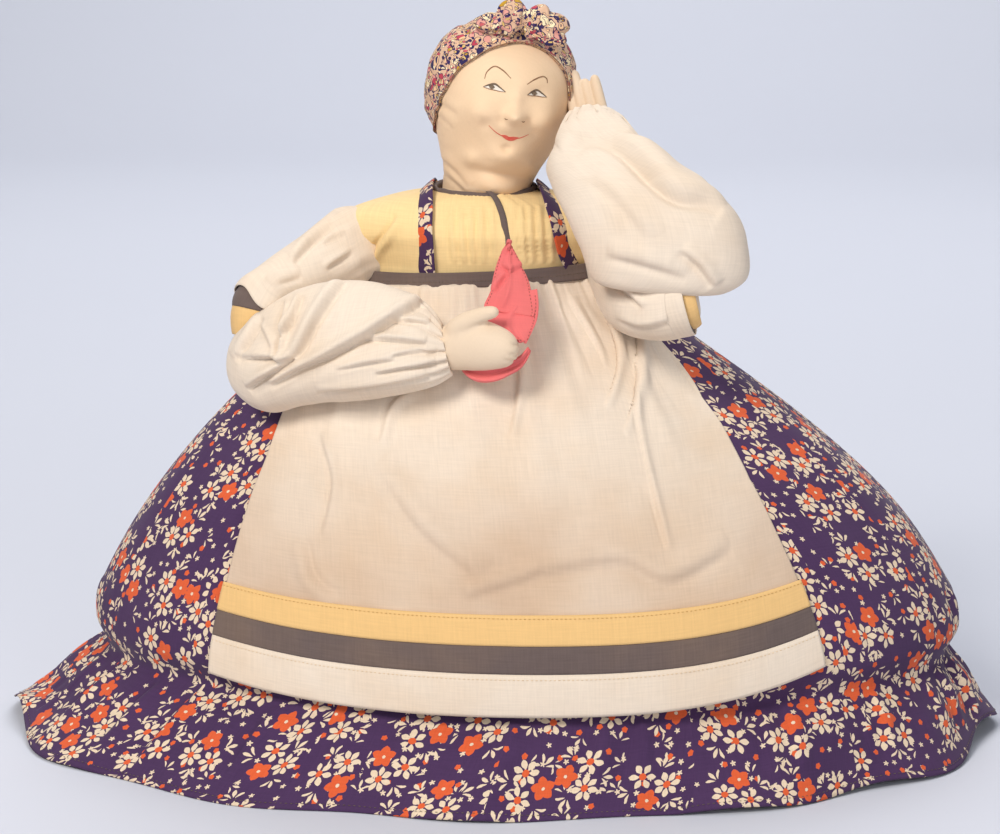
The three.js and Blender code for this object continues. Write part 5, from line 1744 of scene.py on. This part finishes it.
class DOLL_OT_stage(bpy.types.Operator):
    """Pale sweep of paper, soft lights and the camera"""

    bl_idname = "doll.stage"
    bl_label = "Stage"

    def execute(self, context):
        # Colours are shown without a film look, as in a print of the photograph
        context.scene.view_settings.view_transform = "Standard"
        make_materials()
        tree = start_material("stage_paper")
        cloud = add_node(tree, NOISE, {"Vector": cloth_place(tree, False), "Scale": 0.8})
        paper = {0: cloud, 6: ink_colour("#CED0D8"), 7: ink_colour("#C9CBD4")}
        finish_material(tree, add_node(tree, MIX, paper, data_type="RGBA"), roughness=0.9)

        def sweep(u, v):
            x, run = lerp(-SWEEP_HALF, SWEEP_HALF, u), lerp(SWEEP_START, SWEEP_END, v)
            turn = clamp((run - SWEEP_BEND) / SWEEP_RADIUS, 0, math.pi / 2)
            rest = max(0.0, run - SWEEP_BEND - SWEEP_RADIUS * math.pi / 2)
            y = min(run, SWEEP_BEND) + SWEEP_RADIUS * math.sin(turn)
            return Vector((x, y, SWEEP_RADIUS * (1 - math.cos(turn)) + rest))

        floor = form_cloth("stage_sweep", "stage_paper", 8, 120, sweep, away=Vector((0, -0.3, 1)))
        for name, at, aim, power, size, lamp_colour in LAMPS:
            lamp = bpy.data.lights.new(name, "AREA")
            lamp.energy = power
            lamp.size = size
            lamp.color = lamp_colour
            self.put(context, lamp, Vector(at), Vector(aim) - Vector(at))
        world = bpy.data.worlds.new("studio")
        world.use_nodes = True
        world.node_tree.nodes["Background"].inputs[0].default_value = ink_colour("#DDE1EC")
        world.node_tree.nodes["Background"].inputs[1].default_value = 0.26
        context.scene.world = world
        lens = bpy.data.cameras.new("camera")
        lens.sensor_fit = "HORIZONTAL"
        lens.sensor_width = 36
        lens.lens = 95.04
        context.scene.camera = self.put(context, lens, CAMERA_AT * MM, (CAMERA_AIM - CAMERA_AT) * MM)
        return {"FINISHED"}

    def put(self, context, data, at, way):
        """A lamp or the camera at a place, looking along a way."""
        made = bpy.data.objects.new(data.name, data)
        context.collection.objects.link(made)
        made.location = at
        made.rotation_euler = way.to_track_quat("-Z", "Y").to_euler()
        return made


OPERATORS = (
    DOLL_OT_stage, DOLL_OT_cosy, DOLL_OT_skirt, DOLL_OT_bodice, DOLL_OT_apron, DOLL_OT_head, DOLL_OT_scarf,
    DOLL_OT_sleeves, DOLL_OT_hands, DOLL_OT_kerchief,
)


class DOLL_PT_panel(bpy.types.Panel):
    """Sizes, colours and pieces of the doll"""

    bl_idname = "DOLL_PT_panel"
    bl_label = "Tea cosy doll"
    bl_space_type = "VIEW_3D"
    bl_region_type = "UI"
    bl_category = "Tea cosy doll"

    def draw(self, context):
        settings = context.scene.tea_cosy_doll
        for group in (settings.sizes, settings.colours):
            for name in group.__annotations__:
                self.layout.prop(group, name)
        for operator in OPERATORS:
            self.layout.operator(operator.bl_idname)


CLASSES = (DollSizes, DollColours, DollSettings, *OPERATORS, DOLL_PT_panel)


def register():
    for c in CLASSES:
        bpy.utils.register_class(c)
    bpy.types.Scene.tea_cosy_doll = bpy.props.PointerProperty(type=DollSettings)


def unregister():
    del bpy.types.Scene.tea_cosy_doll
    for c in reversed(CLASSES):
        bpy.utils.unregister_class(c)


def main():
    register()
    bpy.ops.doll.stage()
    bpy.ops.doll.cosy()
    bpy.ops.doll.skirt()
    bpy.ops.doll.bodice()
    bpy.ops.doll.apron()
    bpy.ops.doll.head()
    bpy.ops.doll.scarf()
    bpy.ops.doll.sleeves()
    bpy.ops.doll.hands()
    bpy.ops.doll.kerchief()


if __name__ == "__main__":
    main()
